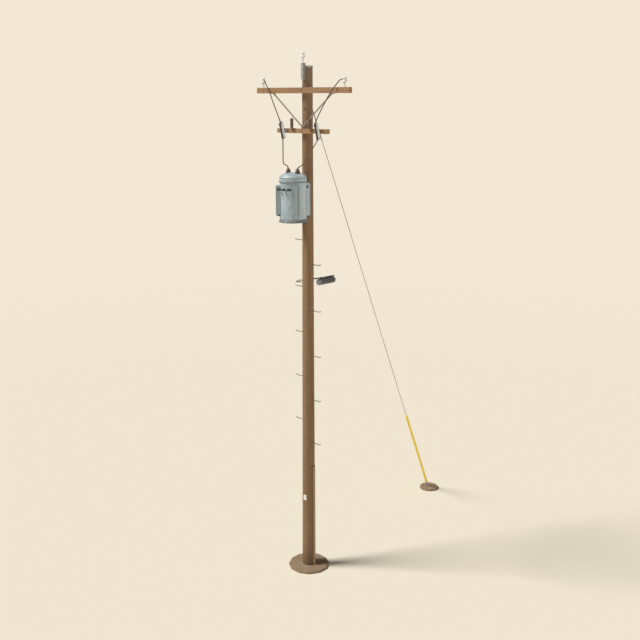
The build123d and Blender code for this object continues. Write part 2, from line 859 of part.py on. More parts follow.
# ----------------------------------------------------- ground-wire guard, tag
with BuildPart() as wire_guard:
    for z in GUARD_Z:
        with BuildSketch(Plane.XY.offset(z)):
            with Locations((pole_r(z) - 15, 0)):
                Ellipse(GUARD_PROUD + 15, GUARD_HALF_W)
    loft()
    add(pole_cut(), mode=Mode.SUBTRACT)
    with Locations((0, 0, 0)):
        Box(120, 400, 6000, mode=Mode.SUBTRACT)

with BuildPart() as pole_tag:
    r = pole_r(TAG_Z[0])
    with BuildSketch(Plane.XY.offset(TAG_Z[0])):
        Circle(r + 0.2 + TAG_T)
        Circle(r + 0.2, mode=Mode.SUBTRACT)
        with Locations((0, -r)):
            Rectangle(TAG_W, 60, mode=Mode.INTERSECT)
    extrude(amount=TAG_Z[1] - TAG_Z[0])

# ---------------------------------------------- messenger clamp, strand, closure
SLOPE = radians(STRAND_DROP)
STRAND_DIR = Vector(0, cos(SLOPE), -sin(SLOPE))


def strand_z(y):
    return STRAND_Z - y * tan(SLOPE)


with BuildPart() as messenger_clamp:
    r = pole_r(STRAND_Z)
    # backing plate and standing arm
    with Locations((-r - 3, 0, STRAND_Z)):
        Box(22, 70, 96)
    with Locations(((-r + STRAND_X) / 2 - 4, 0, STRAND_Z)):
        Box(-STRAND_X - r, 16, 44)
    # three-bolt clamp halves around the strand
    with Locations((STRAND_X, 0, STRAND_Z)):
        Box(46, 130, 50)
    with BuildSketch(Plane.YZ.offset(STRAND_X - 23)):
        with Locations((-40, STRAND_Z + 16), (40, STRAND_Z + 16), (0, STRAND_Z - 16)):
            RegularPolygon(9, 6)
    extrude(amount=-8)
    with BuildSketch(Plane(origin=(STRAND_X, 0, STRAND_Z), z_dir=STRAND_DIR).offset(-200)):
        Circle(STRAND_R + 0.05)
    extrude(amount=400, mode=Mode.SUBTRACT)
    add(pole_cut(), mode=Mode.SUBTRACT)

with BuildPart() as closure_strand:
    with BuildSketch(Plane(origin=(STRAND_X, 0, STRAND_Z), z_dir=STRAND_DIR).offset(-95)):
        Circle(STRAND_R)
    extrude(amount=CLOSURE_Y[1] + 95 + 10)

TILT = (CLOSURE_Z[0] - CLOSURE_Z[1]) / (CLOSURE_Y[1] - CLOSURE_Y[0])
CLOSURE_DIR = Vector(0, 1, -TILT).normalized()

with BuildPart() as splice_closure:
    cl = (CLOSURE_Y[1] - CLOSURE_Y[0]) * sqrt(1 + TILT**2)
    start = Plane(
        origin=(STRAND_X, CLOSURE_Y[0], CLOSURE_Z[0]),
        x_dir=(1, 0, 0),
        z_dir=CLOSURE_DIR,
    )
    with BuildSketch(start.offset(CLOSURE_CAP)):
        Circle(CLOSURE_R - 1.5)
    extrude(amount=cl - CLOSURE_CAP)
    fillet(splice_closure.edges().sort_by(Axis.Y)[-1], 26)
    with BuildSketch(start):
        Circle(CLOSURE_R)
    extrude(amount=CLOSURE_CAP)
    fillet(splice_closure.edges().sort_by(Axis.Y)[0], 8)
    # hangers up to the strand
    for d in (70, cl - 96):
        y = CLOSURE_Y[0] + d
        low = CLOSURE_Z[0] - d * TILT + CLOSURE_R - 12
        high = strand_z(y) + STRAND_R + 7
        with Locations((STRAND_X, y + 13, (low + high) / 2)):
            Box(26, 26, high - low)
    with BuildSketch(Plane(origin=(STRAND_X, 0, STRAND_Z), z_dir=STRAND_DIR).offset(100)):
        Circle(STRAND_R + 0.05)
    extrude(amount=1300, mode=Mode.SUBTRACT)

# ------------------------------------------------------- ground collar, anchor
with BuildPart() as ground_collar:
    with BuildSketch():
        RegularPolygon(COLLAR_R, 12, rotation=8)
    extrude(amount=COLLAR_T)
    chamfer(ground_collar.faces().sort_by(Axis.Z)[-1].edges(), 12)
    Cylinder(
        POLE_R_BUTT + FIT, 200, mode=Mode.SUBTRACT
    )

with BuildPart() as anchor_collar:
    with BuildSketch():
        with Locations(ANCHOR_COLLAR):
            RegularPolygon(ANCHOR_R, 12, rotation=12)
    extrude(amount=COLLAR_T)
    chamfer(anchor_collar.faces().sort_by(Axis.Z)[-1].edges(), 10)
    with Locations((0, ANCHOR_Y, 0)):
        Cylinder(11.05, 200, mode=Mode.SUBTRACT)

# ------------------------------------------------------------------------- guy
GUY_LOW = Vector(0, ANCHOR_Y, ANCHOR_EYE_Z)
GUY_HIGH = Vector(*GUY_TOP)
GUY_DIR = (GUY_LOW - GUY_HIGH).normalized()
GUY_LEN = (GUY_LOW - GUY_HIGH).length

with BuildPart() as guy_attachment:
    r = pole_r(GUY_TOP[2])
    # strain plate on the back of the pole, with an eye that the guy loops through
    with Locations((0, r + 2, GUY_TOP[2] + 14)):
        Box(62, 24, 118)
    with BuildSketch(Plane.YZ.offset(-8)):
        with Locations((r + 22, GUY_TOP[2] + 4)):
            Rectangle(44, 46)
    extrude(amount=16)
    with BuildSketch(Plane.XZ.offset(-(r + 14))):
        with Locations((0, GUY_TOP[2] + 50), (0, GUY_TOP[2] - 26)):
            RegularPolygon(13, 6)
    extrude(amount=-11)
    # nut and square washer of the through bolt on the front
    with Locations((0, -r - 2, GUY_TOP[2] + 4)):
        Box(46, 12, 46)
    with BuildSketch(Plane.XZ.offset(r + 6)):
        with Locations((0, GUY_TOP[2] + 4)):
            RegularPolygon(12, 6)
    extrude(amount=10)
    add(pole_cut(), mode=Mode.SUBTRACT)
    with BuildSketch(Plane(origin=GUY_HIGH, z_dir=GUY_DIR).offset(-6)):
        Circle(GUY_R + 0.05)
    extrude(amount=200, mode=Mode.SUBTRACT)

with BuildPart() as guy_wire:
    with BuildSketch(Plane(origin=GUY_HIGH, z_dir=GUY_DIR)):
        Circle(GUY_R)
    extrude(amount=GUY_LEN)
    # preformed grip, thicker over the first stretch
    with BuildSketch(Plane(origin=GUY_HIGH, z_dir=GUY_DIR).offset(60)):
        Circle(GUY_R + 3)
    extrude(amount=640)

with BuildPart() as guy_guard:
    with BuildSketch(Plane(origin=GUY_LOW, z_dir=-GUY_DIR).offset(40)):
        Circle(GUY_GUARD_R)
        Circle(GUY_R + 0.1, mode=Mode.SUBTRACT)
    extrude(amount=GUY_GUARD_L)

with BuildPart() as anchor_rod:
    with Locations((0, ANCHOR_Y, 0)):
        Cylinder(11, ANCHOR_EYE_Z - 26, align=(Align.CENTER, Align.CENTER, Align.MIN))
    with BuildSketch(Plane.YZ.offset(-9)):
        with Locations((ANCHOR_Y, ANCHOR_EYE_Z)):
            Circle(32)
            Circle(14, mode=Mode.SUBTRACT)
    extrude(amount=18)
    with BuildSketch(Plane(origin=GUY_LOW, z_dir=-GUY_DIR)):
        Circle(GUY_R + 0.05)
    extrude(amount=200, mode=Mode.SUBTRACT)

# ----------------------------------------------------------------------- write
pole.part.label = "pole"
pole_cap.part.label = "pole_cap"
pole_top_bracket.part.label = "pole_top_bracket"
top_pin.part.label = "top_pin"
top_insulator.part.label = "top_insulator"
upper_crossarm.part.label = "upper_crossarm"
insulator_pins.part.label = "insulator_pins"
insulator_left.part.label = "insulator_left"
insulator_right.part.label = "insulator_right"
brace_left.part.label = "brace_left"
brace_right.part.label = "brace_right"
brace_foot.part.label = "brace_foot"
lower_crossarm.part.label = "lower_crossarm"
cutout_insulator_left.part.label = "cutout_insulator_left"
cutout_insulator_right.part.label = "cutout_insulator_right"
cutout_castings.part.label = "cutout_castings"
cutout_brackets.part.label = "cutout_brackets"
fuse_tube_left.part.label = "fuse_tube_left"
fuse_tube_right.part.label = "fuse_tube_right"
arrester_left.part.label = "arrester_left"
arrester_right.part.label = "arrester_right"
arrester_brackets.part.label = "arrester_brackets"
transformer_tank.part.label = "transformer_tank"
transformer_lid.part.label = "transformer_lid"
transformer_lid_band.part.label = "transformer_lid_band"
transformer_base_rim.part.label = "transformer_base_rim"
transformer_radiators.part.label = "transformer_radiators"
bushing_left.part.label = "bushing_left"
bushing_right.part.label = "bushing_right"
low_voltage_bushings.part.label = "low_voltage_bushings"
transformer_hangers.part.label = "transformer_hangers"
jumper_upper_left.part.label = "jumper_upper_left"
jumper_upper_right.part.label = "jumper_upper_right"
jumper_lower_left.part.label = "jumper_lower_left"
jumper_lower_right.part.label = "jumper_lower_right"
steps_left.part.label = "steps_left"
steps_right.part.label = "steps_right"
wire_guard.part.label = "wire_guard"
pole_tag.part.label = "pole_tag"
messenger_clamp.part.label = "messenger_clamp"
closure_strand.part.label = "closure_strand"
splice_closure.part.label = "splice_closure"
ground_collar.part.label = "ground_collar"
anchor_collar.part.label = "anchor_collar"
guy_attachment.part.label = "guy_attachment"
guy_wire.part.label = "guy_wire"
guy_guard.part.label = "guy_guard"
anchor_rod.part.label = "anchor_rod"

for made in (
    pole, pole_cap, pole_top_bracket, top_pin, top_insulator, upper_crossarm,
    insulator_pins, insulator_left, insulator_right, brace_left, brace_right, brace_foot,
    lower_crossarm, cutout_insulator_left, cutout_insulator_right, cutout_castings,
    cutout_brackets, fuse_tube_left, fuse_tube_right, arrester_left, arrester_right,
    arrester_brackets,
    transformer_tank, transformer_lid, transformer_lid_band, transformer_base_rim,
    transformer_radiators, bushing_left, bushing_right, low_voltage_bushings,
    transformer_hangers, jumper_upper_left, jumper_upper_right, jumper_lower_left,
    jumper_lower_right, steps_left, steps_right, wire_guard, pole_tag,
    messenger_clamp, closure_strand, splice_closure, ground_collar, anchor_collar,
    guy_attachment, guy_wire, guy_guard, anchor_rod,
):
    export_step(made.part, f"parts/{made.part.label}.step")

print("hinges", {k: tuple(round(v, 2) for v in h) for k, h in HINGE.items()})
for label_, pts_ in (("upper", UPPER_JUMPER), ("left", LOWER_LEFT_JUMPER), ("right", LOWER_RIGHT_JUMPER)):
    print("jumper radii", label_, [round(v) for v in jumper_radii(pts_)])
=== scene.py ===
import math
from math import cos, pi, radians, sin, sqrt

import bmesh
import bpy
from mathutils import Matrix, Vector, noise


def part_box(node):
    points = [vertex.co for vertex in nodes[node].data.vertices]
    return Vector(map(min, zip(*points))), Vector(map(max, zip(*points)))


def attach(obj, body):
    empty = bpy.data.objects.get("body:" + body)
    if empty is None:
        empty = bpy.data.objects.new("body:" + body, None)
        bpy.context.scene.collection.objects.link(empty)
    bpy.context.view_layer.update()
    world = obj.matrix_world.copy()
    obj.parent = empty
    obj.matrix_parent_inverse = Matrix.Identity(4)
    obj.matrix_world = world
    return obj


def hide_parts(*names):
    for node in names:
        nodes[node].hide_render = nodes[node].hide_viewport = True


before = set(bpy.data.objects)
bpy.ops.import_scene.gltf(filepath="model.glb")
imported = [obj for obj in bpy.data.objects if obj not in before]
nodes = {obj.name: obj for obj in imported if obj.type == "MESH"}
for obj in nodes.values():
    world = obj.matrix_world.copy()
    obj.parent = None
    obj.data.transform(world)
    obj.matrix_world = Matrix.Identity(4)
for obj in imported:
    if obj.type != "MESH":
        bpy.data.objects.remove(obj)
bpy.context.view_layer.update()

scene = bpy.context.scene
MM = 0.001


# ======================================================================
# mesh helpers, in millimetres
# ======================================================================
def mm_box(node):
    lo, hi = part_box(node)
    return [v * 1000 for v in lo], [v * 1000 for v in hi]


def smooth01(t):
    t = min(1.0, max(0.0, t))
    return t * t * (3 - 2 * t)


def catmull(pts, step):
    """Points about step apart on a smooth curve through pts."""
    pts = [Vector(p) for p in pts]
    ext = [pts[0] * 2 - pts[1]] + pts + [pts[-1] * 2 - pts[-2]]
    out = []
    for i in range(1, len(ext) - 2):
        p0, p1, p2, p3 = ext[i - 1 : i + 3]
        n = max(1, round((p2 - p1).length / step))
        t0 = 0.0
        t1 = t0 + max(1e-6, (p1 - p0).length) ** 0.5
        t2 = t1 + max(1e-6, (p2 - p1).length) ** 0.5
        t3 = t2 + max(1e-6, (p3 - p2).length) ** 0.5
        for k in range(n):
            t = t1 + (t2 - t1) * k / n
            a1 = p0 * ((t1 - t) / (t1 - t0)) + p1 * ((t - t0) / (t1 - t0))
            a2 = p1 * ((t2 - t) / (t2 - t1)) + p2 * ((t - t1) / (t2 - t1))
            a3 = p2 * ((t3 - t) / (t3 - t2)) + p3 * ((t - t2) / (t3 - t2))
            b1 = a1 * ((t2 - t) / (t2 - t0)) + a2 * ((t - t0) / (t2 - t0))
            b2 = a2 * ((t3 - t) / (t3 - t1)) + a3 * ((t - t1) / (t3 - t1))
            out.append(b1 * ((t2 - t) / (t2 - t1)) + b2 * ((t - t1) / (t2 - t1)))
    out.append(pts[-1].copy())
    return out


def rounded(prof, r=1.5, n=3):
    """A profile with its corners rounded by up to r."""
    out = []
    for i, p in enumerate(prof):
        p = Vector((p[0], p[1]))
        if i in (0, len(prof) - 1):
            out.append(tuple(p))
            continue
        a, b = Vector(prof[i - 1]), Vector(prof[i + 1])
        la, lb = (a - p).length, (b - p).length
        d = min(r, la * 0.45, lb * 0.45)
        if d < 0.05:
            out.append(tuple(p))
            continue
        pa, pb = p + (a - p) * (d / la), p + (b - p) * (d / lb)
        for k in range(n + 1):
            t = k / n
            q = pa * (1 - t) ** 2 + p * 2 * t * (1 - t) + pb * t * t
            out.append((max(0.0, q.x), q.y))
    return out


class Geo:
    """Gathers turned, swept and bolted shapes into one mesh."""

    def __init__(self):
        self.v, self.f = [], []

    def add(self, verts, faces):
        n = len(self.v)
        self.v.extend(Vector(p) for p in verts)
        self.f.extend(tuple(i + n for i in f) for f in faces)
        return self

    def lathe(self, prof, o=(0, 0, 0), d=(0, 0, 1), segs=48, closed=False, twist=0.0, warp=None):
        o, d = Vector(o), Vector(d).normalized()
        ref = Vector((1, 0, 0)) if abs(d.x) < 0.9 else Vector((0, 1, 0))
        u = (ref - d * ref.dot(d)).normalized()
        w = d.cross(u)
        rings, verts, faces = [], [], []
        for r, h in prof:
            c = o + d * h
            if r < 1e-6 and not closed:
                rings.append([len(verts)])
                verts.append(c)
                continue
            rings.append(list(range(len(verts), len(verts) + segs)))
            for i in range(segs):
                a = 2 * pi * i / segs + twist
                p = c + (u * cos(a) + w * sin(a)) * r
                verts.append(warp(p, a, r, h) if warp else p)
        pairs = list(zip(rings, rings[1:]))
        if closed:
            pairs.append((rings[-1], rings[0]))
        for A, B in pairs:
            if len(A) == 1 and len(B) == 1:
                continue
            for i in range(segs):
                j = (i + 1) % segs
                if len(A) == 1:
                    faces.append((A[0], B[j], B[i]))
                elif len(B) == 1:
                    faces.append((A[i], A[j], B[0]))
                else:
                    faces.append((A[i], A[j], B[j], B[i]))
        return self.add(verts, faces)

    def torus(self, c, d, major, minor, segs=32, sides=10):
        prof = [
            (major + minor * cos(2 * pi * k / sides), minor * sin(2 * pi * k / sides))
            for k in range(sides)
        ]
        return self.lathe(prof, c, d, segs, closed=True)

    def tube(self, pts, r, segs=10, lobes=0, lobe=0.16, pitch=120.0, rf=None, start=None):
        pts = [Vector(p) for p in pts]
        tan = []
        for i in range(len(pts)):
            a, b = pts[max(0, i - 1)], pts[min(len(pts) - 1, i + 1)]
            tan.append((b - a).normalized())
        ref = Vector(start) if start else tan[0].orthogonal()
        u = (ref - tan[0] * ref.dot(tan[0])).normalized()
        verts, faces, s = [], [], 0.0
        for i, p in enumerate(pts):
            if i:
                s += (p - pts[i - 1]).length
                u = (u - tan[i] * u.dot(tan[i])).normalized()
            w = tan[i].cross(u)
            for k in range(segs):
                a = 2 * pi * k / segs
                rr = r(s) if callable(r) else r
                if lobes:
                    rr *= 1 - lobe * (0.5 - 0.5 * cos(lobes * (a - 2 * pi * s / pitch)))
                if rf:
                    rr *= rf(a, s)
                verts.append(p + (u * cos(a) + w * sin(a)) * rr)
        n = len(pts)
        for i in range(n - 1):
            for k in range(segs):
                j = (k + 1) % segs
                faces.append((i * segs + k, i * segs + j, (i + 1) * segs + j, (i + 1) * segs + k))
        verts += [pts[0], pts[-1]]
        for k in range(segs):
            j = (k + 1) % segs
            faces.append((n * segs, j, k))
            faces.append((n * segs + 1, (n - 1) * segs + k, (n - 1) * segs + j))
        return self.add(verts, faces)

    def box(self, c, size, bevel=1.0, rot=None, seg=2):
        bm = bmesh.new()
        bmesh.ops.create_cube(bm, size=1.0)
        bmesh.ops.scale(bm, vec=Vector(size), verts=bm.verts)
        if bevel > 0:
            bmesh.ops.bevel(bm, geom=bm.edges[:], offset=bevel, segments=seg, profile=0.5, affect="EDGES")
        m = Matrix.Translation(Vector(c))
        if rot is not None:
            m = m @ rot.to_4x4()
        bm.verts.ensure_lookup_table()
        vs = [m @ v.co for v in bm.verts]
        fs = [tuple(v.index for v in f.verts) for f in bm.faces]
        bm.free()
        return self.add(vs, fs)

    def plate(self, outline, o, u, w, thick, bevel=1.0):
        """Flat plate: outline is (a, b) points along u and w from o, thick along u x w."""
        o, u, w = Vector(o), Vector(u).normalized(), Vector(w).normalized()
        n = u.cross(w)
        bm = bmesh.new()
        low = [bm.verts.new(o + u * a + w * b) for a, b in outline]
        f = bm.faces.new(low)
        got = bmesh.ops.extrude_face_region(bm, geom=[f])
        top = [g for g in got["geom"] if isinstance(g, bmesh.types.BMVert)]
        bmesh.ops.translate(bm, vec=n * thick, verts=top)
        bmesh.ops.recalc_face_normals(bm, faces=bm.faces[:])
        if bevel > 0:
            bmesh.ops.bevel(bm, geom=bm.edges[:], offset=bevel, segments=2, profile=0.5, affect="EDGES")
        vs = [v.co.copy() for v in bm.verts]
        for i, v in enumerate(bm.verts):
            v.index = i
        fs = [tuple(v.index for v in f.verts) for f in bm.faces]
        bm.free()
        return self.add(vs, fs)

    def bolt(self, p, d, flats=22.0, h=10.0, washer=None, square=None, stud=0.0, stud_r=None, turn=0.0):
        """Hex head or nut at p, facing d, on a round or square washer, with a threaded end beyond it."""
        p, d = Vector(p), Vector(d).normalized()
        base = 0.0
        if square:
            wdt, t = square
            ref = Vector((0, 0, 1)) if abs(d.z) < 0.9 else Vector((1, 0, 0))
            b = ref.cross(d).normalized()
            a = d.cross(b)
            rot = Matrix((b, a, d)).transposed()
            self.box(p + d * (t / 2), (wdt, wdt, t), min(1.2, t * 0.3), rot)
            base += t
        if washer:
            wr, t = washer
            self.lathe(rounded([(0, base), (wr, base), (wr, base + t), (0, base + t)], 0.6, 2), p, d, 28)
            base += t
        r = flats / sqrt(3)
        self.lathe(
            [(0, base), (r, base), (r, base + h * 0.82), (r * 0.9, base + h), (r * 0.55, base + h), (0, base + h * 1.02)],
            p, d, 6, twist=turn,
        )
        if stud:
            sr = stud_r or flats * 0.3
            prof, z = [(0, base + h)], base + h
            while z < base + h + stud - 2:
                prof += [(sr, z), (sr * 0.86, z + 1.3)]
                z += 2.6
            prof += [(sr, z), (sr * 0.8, z + 1.5), (0, z + 1.7)]
            self.lathe(prof, p, d, 14)
        return self


def make(name, geo, mat, body="root", replaces=(), angle=35, attrs=None, clean=True):
    me = bpy.data.meshes.new(name)
    me.from_pydata([tuple(p * MM) for p in geo.v], [], geo.f)
    if attrs:
        for key, values in attrs.items():
            at = me.attributes.new(key, "FLOAT", "POINT")
            at.data.foreach_set("value", values)
    if clean:
        bm = bmesh.new()
        bm.from_mesh(me)
        bmesh.ops.recalc_face_normals(bm, faces=bm.faces[:])
        bm.to_mesh(me)
        bm.free()
    me.polygons.foreach_set("use_smooth", [True] * len(me.polygons))
    me.set_sharp_from_angle(angle=radians(angle))
    me.validate()
    ob = bpy.data.objects.new(name, me)
    scene.collection.objects.link(ob)
    me.materials.append(mat)
    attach(ob, body)
    if replaces:
        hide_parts(*replaces)
    return ob


# ======================================================================
# material helpers
# ======================================================================
class Mat:
    def __init__(self, name, **const):
        self.m = bpy.data.materials.new(name)
        self.m.use_nodes = True
        self.t = self.m.node_tree
        self.b = self.t.nodes["Principled BSDF"]
        for k, v in const.items():
            self.b.inputs[k.replace("_", " ")].default_value = v
        self._co = None

    def put(self, sock, v):
        if v is None:
            return
        if isinstance(v, bpy.types.NodeSocket):
            self.t.links.new(v, sock)
        elif isinstance(v, (tuple, list)) and len(v) == 3 and sock.type == "RGBA":
            sock.default_value = (*v, 1)
        else:
            sock.default_value = v

    def node(self, kind, **props):
        n = self.t.nodes.new(kind)
        for k, v in props.items():
            setattr(n, k, v)
        return n

    def co(self):
        if self._co is None:
            self._co = self.node("ShaderNodeTexCoord").outputs["Object"]
        return self._co

    def map(self, scale=(1, 1, 1), loc=(0, 0, 0), rot=(0, 0, 0), vec=None, kind="POINT"):
        n = self.node("ShaderNodeMapping", vector_type=kind)
        self.put(n.inputs["Vector"], vec or self.co())
        n.inputs["Location"].default_value = loc
        n.inputs["Rotation"].default_value = rot
        n.inputs["Scale"].default_value = scale
        return n.outputs[0]

    def noise(self, vec, scale, detail=4.0, rough=0.55, dist=0.0, out="Fac"):
        n = self.node("ShaderNodeTexNoise")
        self.put(n.inputs["Vector"], vec)
        self.put(n.inputs["Scale"], scale)
        n.inputs["Detail"].default_value = detail
        n.inputs["Roughness"].default_value = rough
        n.inputs["Distortion"].default_value = dist
        return n.outputs[out]

    def voronoi(self, vec, scale, feature="F1", out="Distance", rand=1.0):
        n = self.node("ShaderNodeTexVoronoi", feature=feature)
        self.put(n.inputs["Vector"], vec)
        self.put(n.inputs["Scale"], scale)
        n.inputs["Randomness"].default_value = rand
        return n.outputs[out]

    def ramp(self, fac, stops, interp="LINEAR"):
        n = self.node("ShaderNodeValToRGB")
        n.color_ramp.interpolation = interp
        els = n.color_ramp.elements
        while len(els) < len(stops):
            els.new(0.5)
        for e, (p, c) in zip(els, stops):
            e.position = p
            e.color = (c, c, c, 1) if isinstance(c, (int, float)) else (*c, 1)
        self.put(n.inputs["Fac"], fac)
        return n.outputs["Color"]

    def mix(self, fac, a, b, blend="MIX"):
        n = self.node("ShaderNodeMix", data_type="RGBA", blend_type=blend, clamp_result=False)
        self.put(n.inputs[0], fac)
        self.put(n.inputs[6], a)
        self.put(n.inputs[7], b)
        return n.outputs[2]

    def math(self, op, a, b=None, c=None, clamp=False):
        n = self.node("ShaderNodeMath", operation=op, use_clamp=clamp)
        self.put(n.inputs[0], a)
        self.put(n.inputs[1], b)
        self.put(n.inputs[2], c)
        return n.outputs[0]

    def rng(self, v, a, b, c=0.0, d=1.0, kind="SMOOTHSTEP"):
        n = self.node("ShaderNodeMapRange", interpolation_type=kind)
        self.put(n.inputs["Value"], v)
        for k, x in (("From Min", a), ("From Max", b), ("To Min", c), ("To Max", d)):
            n.inputs[k].default_value = x
        return n.outputs[0]

    def sep(self, vec=None):
        n = self.node("ShaderNodeSeparateXYZ")
        self.put(n.inputs[0], vec or self.co())
        return n.outputs

    def comb(self, x, y, z):
        n = self.node("ShaderNodeCombineXYZ")
        for i, v in enumerate((x, y, z)):
            self.put(n.inputs[i], v)
        return n.outputs[0]

    def length(self, vec):
        n = self.node("ShaderNodeVectorMath", operation="LENGTH")
        self.put(n.inputs[0], vec)
        return n.outputs["Value"]

    def attr(self, name):
        return self.node("ShaderNodeAttribute", attribute_name=name).outputs["Fac"]

    def bump(self, height, strength, dist=0.001, normal=None):
        n = self.node("ShaderNodeBump")
        n.inputs["Strength"].default_value = strength
        n.inputs["Distance"].default_value = dist
        self.put(n.inputs["Height"], height)
        self.put(n.inputs["Normal"], normal)
        return n.outputs[0]

    def done(self, color=None, rough=None, normal=None, metal=None):
        self.put(self.b.inputs["Base Color"], color)
        self.put(self.b.inputs["Roughness"], rough)
        self.put(self.b.inputs["Normal"], normal)
        self.put(self.b.inputs["Metallic"], metal)
        return self.m


def wood(name, axis, light, mid, dark, pith, ring=0.0045, blotch=0.16, wash_and_shade=None, seed=0.0, knots=False):
    """Solid timber: growth rings round a pith, fibres along the axis, stains, checks and knots."""
    m = Mat(name, Specular_IOR_Level=0.25)
    x, y, z = m.sep()
    along = (1, 1, 0.022) if axis == "z" else (0.022, 1, 1)
    slow = (1, 1, 0.16) if axis == "z" else (0.16, 1, 1)
    wide = (1, 1, 0.05) if axis == "z" else (0.05, 1, 1)
    off = (seed, seed * 0.7, seed * 1.3)
    sway = m.noise(m.map(slow, off), 5.0, 3.0)
    fibre = m.noise(m.map(along, off), 190.0, 5.0, 0.68)
    streak = m.noise(m.map(wide, off), 34.0, 4.0, 0.6)
    patch = m.noise(m.map(slow, off), 2.6, 3.0, 0.5)
    if axis == "z":
        flat = m.comb(m.math("SUBTRACT", x, pith[0]), m.math("SUBTRACT", y, pith[1]), 0.0)
    else:
        flat = m.comb(0.0, m.math("SUBTRACT", y, pith[0]), m.math("SUBTRACT", z, pith[1]))
    rad = m.math("ADD", m.length(flat), m.math("MULTIPLY", m.math("SUBTRACT", sway, 0.5), 0.026))
    rings = m.math("FRACT", m.math("DIVIDE", rad, ring))
    late = m.rng(rings, 0.45, 0.98)
    late = m.math("MULTIPLY", late, m.rng(rings, 1.0, 0.94))
    col = m.ramp(fibre, [(0.28, dark), (0.47, mid), (0.7, light)])
    col = m.mix(m.math("MULTIPLY", late, 0.26), col, dark)
    col = m.mix(m.rng(streak, 0.5, 0.78, 0.0, 0.42), col, dark)
    col = m.mix(m.rng(streak, 0.44, 0.22, 0.0, 0.32), col, light)
    shade = m.ramp(patch, [(0.25, 1 - blotch), (0.75, 1 + blotch)])
    col = m.mix(1.0, col, shade, "MULTIPLY")
    if wash_and_shade:
        col = wash_and_shade(m, col, x, y, z, patch, streak)
    # painted shade: near black where the check attribute is set, inside the checks
    check = m.attr("check")
    check_shade = m.rng(check, 0.0, 1.0)
    col = m.mix(check_shade, col, (0.02, 0.012, 0.007))
    height = m.math("ADD", m.math("MULTIPLY", fibre, 0.75), m.math("MULTIPLY", late, 0.3))
    height = m.math("ADD", height, m.math("MULTIPLY", streak, 0.35))
    if knots:
        knot = m.attr("knot")
        core = m.rng(knot, 0.3, 0.75)
        rim = m.math("MULTIPLY", m.rng(knot, 0.06, 0.3), m.rng(knot, 0.75, 0.4))
        col = m.mix(m.math("MULTIPLY", rim, 0.5), col, dark)
        col = m.mix(m.math("MULTIPLY", core, 0.85), col, (0.045, 0.026, 0.014))
    rough = m.rng(fibre, 0.3, 0.75, 0.97, 0.8)
    return m.done(col, rough, m.bump(height, 0.55, 0.0016))


def pole_wash(m, col, x, y, z, patch, streak):
    # greyed near the top, darker and damper at the foot, dark runs along the pole
    top = m.math("MULTIPLY", m.rng(z, 8.2, 10.1), m.rng(patch, 0.35, 0.65, 0.15, 0.6))
    col = m.mix(top, col, (0.235, 0.172, 0.125))
    foot = m.math("ADD", z, m.math("MULTIPLY", m.math("SUBTRACT", streak, 0.5), 1.1))
    col = m.mix(m.rng(foot, 0.75, 0.05, 0.0, 0.5), col, (0.10, 0.062, 0.034))
    # dark preservative runs, long and narrow
    runs = m.noise(m.map((1, 1, 0.012), (3.1, 0.4, 1.7)), 21.0, 2.0, 0.5)
    col = m.mix(m.rng(runs, 0.63, 0.76, 0.0, 0.42), col, (0.085, 0.05, 0.028))
    return col


def guard_edge_shade(m, col, x, y, z, patch, streak):
    # painted shade along the -Y edge, next to the pole
    edge = m.rng(y, -0.022, -0.04)
    return m.mix(m.math("MULTIPLY", edge, 0.72), col, (0.11, 0.068, 0.038))


def arm_wash(m, col, x, y, z, patch, streak):
    grey = m.noise(m.map((0.25, 1, 1), (1.3, 5.0, 2.2)), 7.0, 4.0, 0.6)
    return m.mix(m.rng(grey, 0.52, 0.8, 0.0, 0.35), col, (0.31, 0.24, 0.165))


def galvanised(name, tint=(0.46, 0.465, 0.46), dark=(0.27, 0.275, 0.27), rust=0.35, rough=(0.38, 0.62), scale=1.0, metallic=0.75, side=None):
    m = Mat(name)
    cell = m.voronoi(m.co(), 75.0 * scale, out="Color")
    spangle = m.math("MULTIPLY", m.sep(cell)[0], 1.0)
    cloud = m.noise(m.co(), 11.0 * scale, 4.0, 0.6)
    fine = m.noise(m.co(), 420.0, 3.0, 0.6)
    col = m.mix(m.math("MULTIPLY", spangle, 0.55), tint, dark)
    col = m.mix(m.rng(cloud, 0.35, 0.7, 0.0, 0.55), col, tuple(min(1, c * 1.12) for c in tint))
    # white bloom, and rust that starts in spots and runs down
    bloom = m.noise(m.map((1, 1, 0.5), (4.0, 1.0, 2.0)), 26.0 * scale, 3.0, 0.6)
    col = m.mix(m.rng(bloom, 0.6, 0.78, 0.0, 0.4), col, (0.60, 0.60, 0.57))
    spot = m.noise(m.map((1, 1, 0.3), (9.0, 3.0, 6.0)), 19.0 * scale, 5.0, 0.68)
    rusty = m.rng(spot, 0.6, 0.72, 0.0, rust)
    col = m.mix(rusty, col, (0.175, 0.085, 0.04))
    if side:
        # painted shade: darker towards one side along x
        col = m.mix(m.rng(m.sep(m.co())[0], side[0], side[1], 0.0, side[2]), col, (0.10, 0.088, 0.075))
    r = m.rng(cloud, 0.3, 0.7, rough[0], rough[1])
    r = m.mix(rusty, r, (0.9, 0.9, 0.9))
    met = m.math("MULTIPLY", m.math("SUBTRACT", 1.0, rusty), metallic)
    h = m.math("ADD", m.math("MULTIPLY", fine, 0.4), m.math("MULTIPLY", spangle, 0.25))
    return m.done(col, r, m.bump(h, 0.22, 0.0006), met)


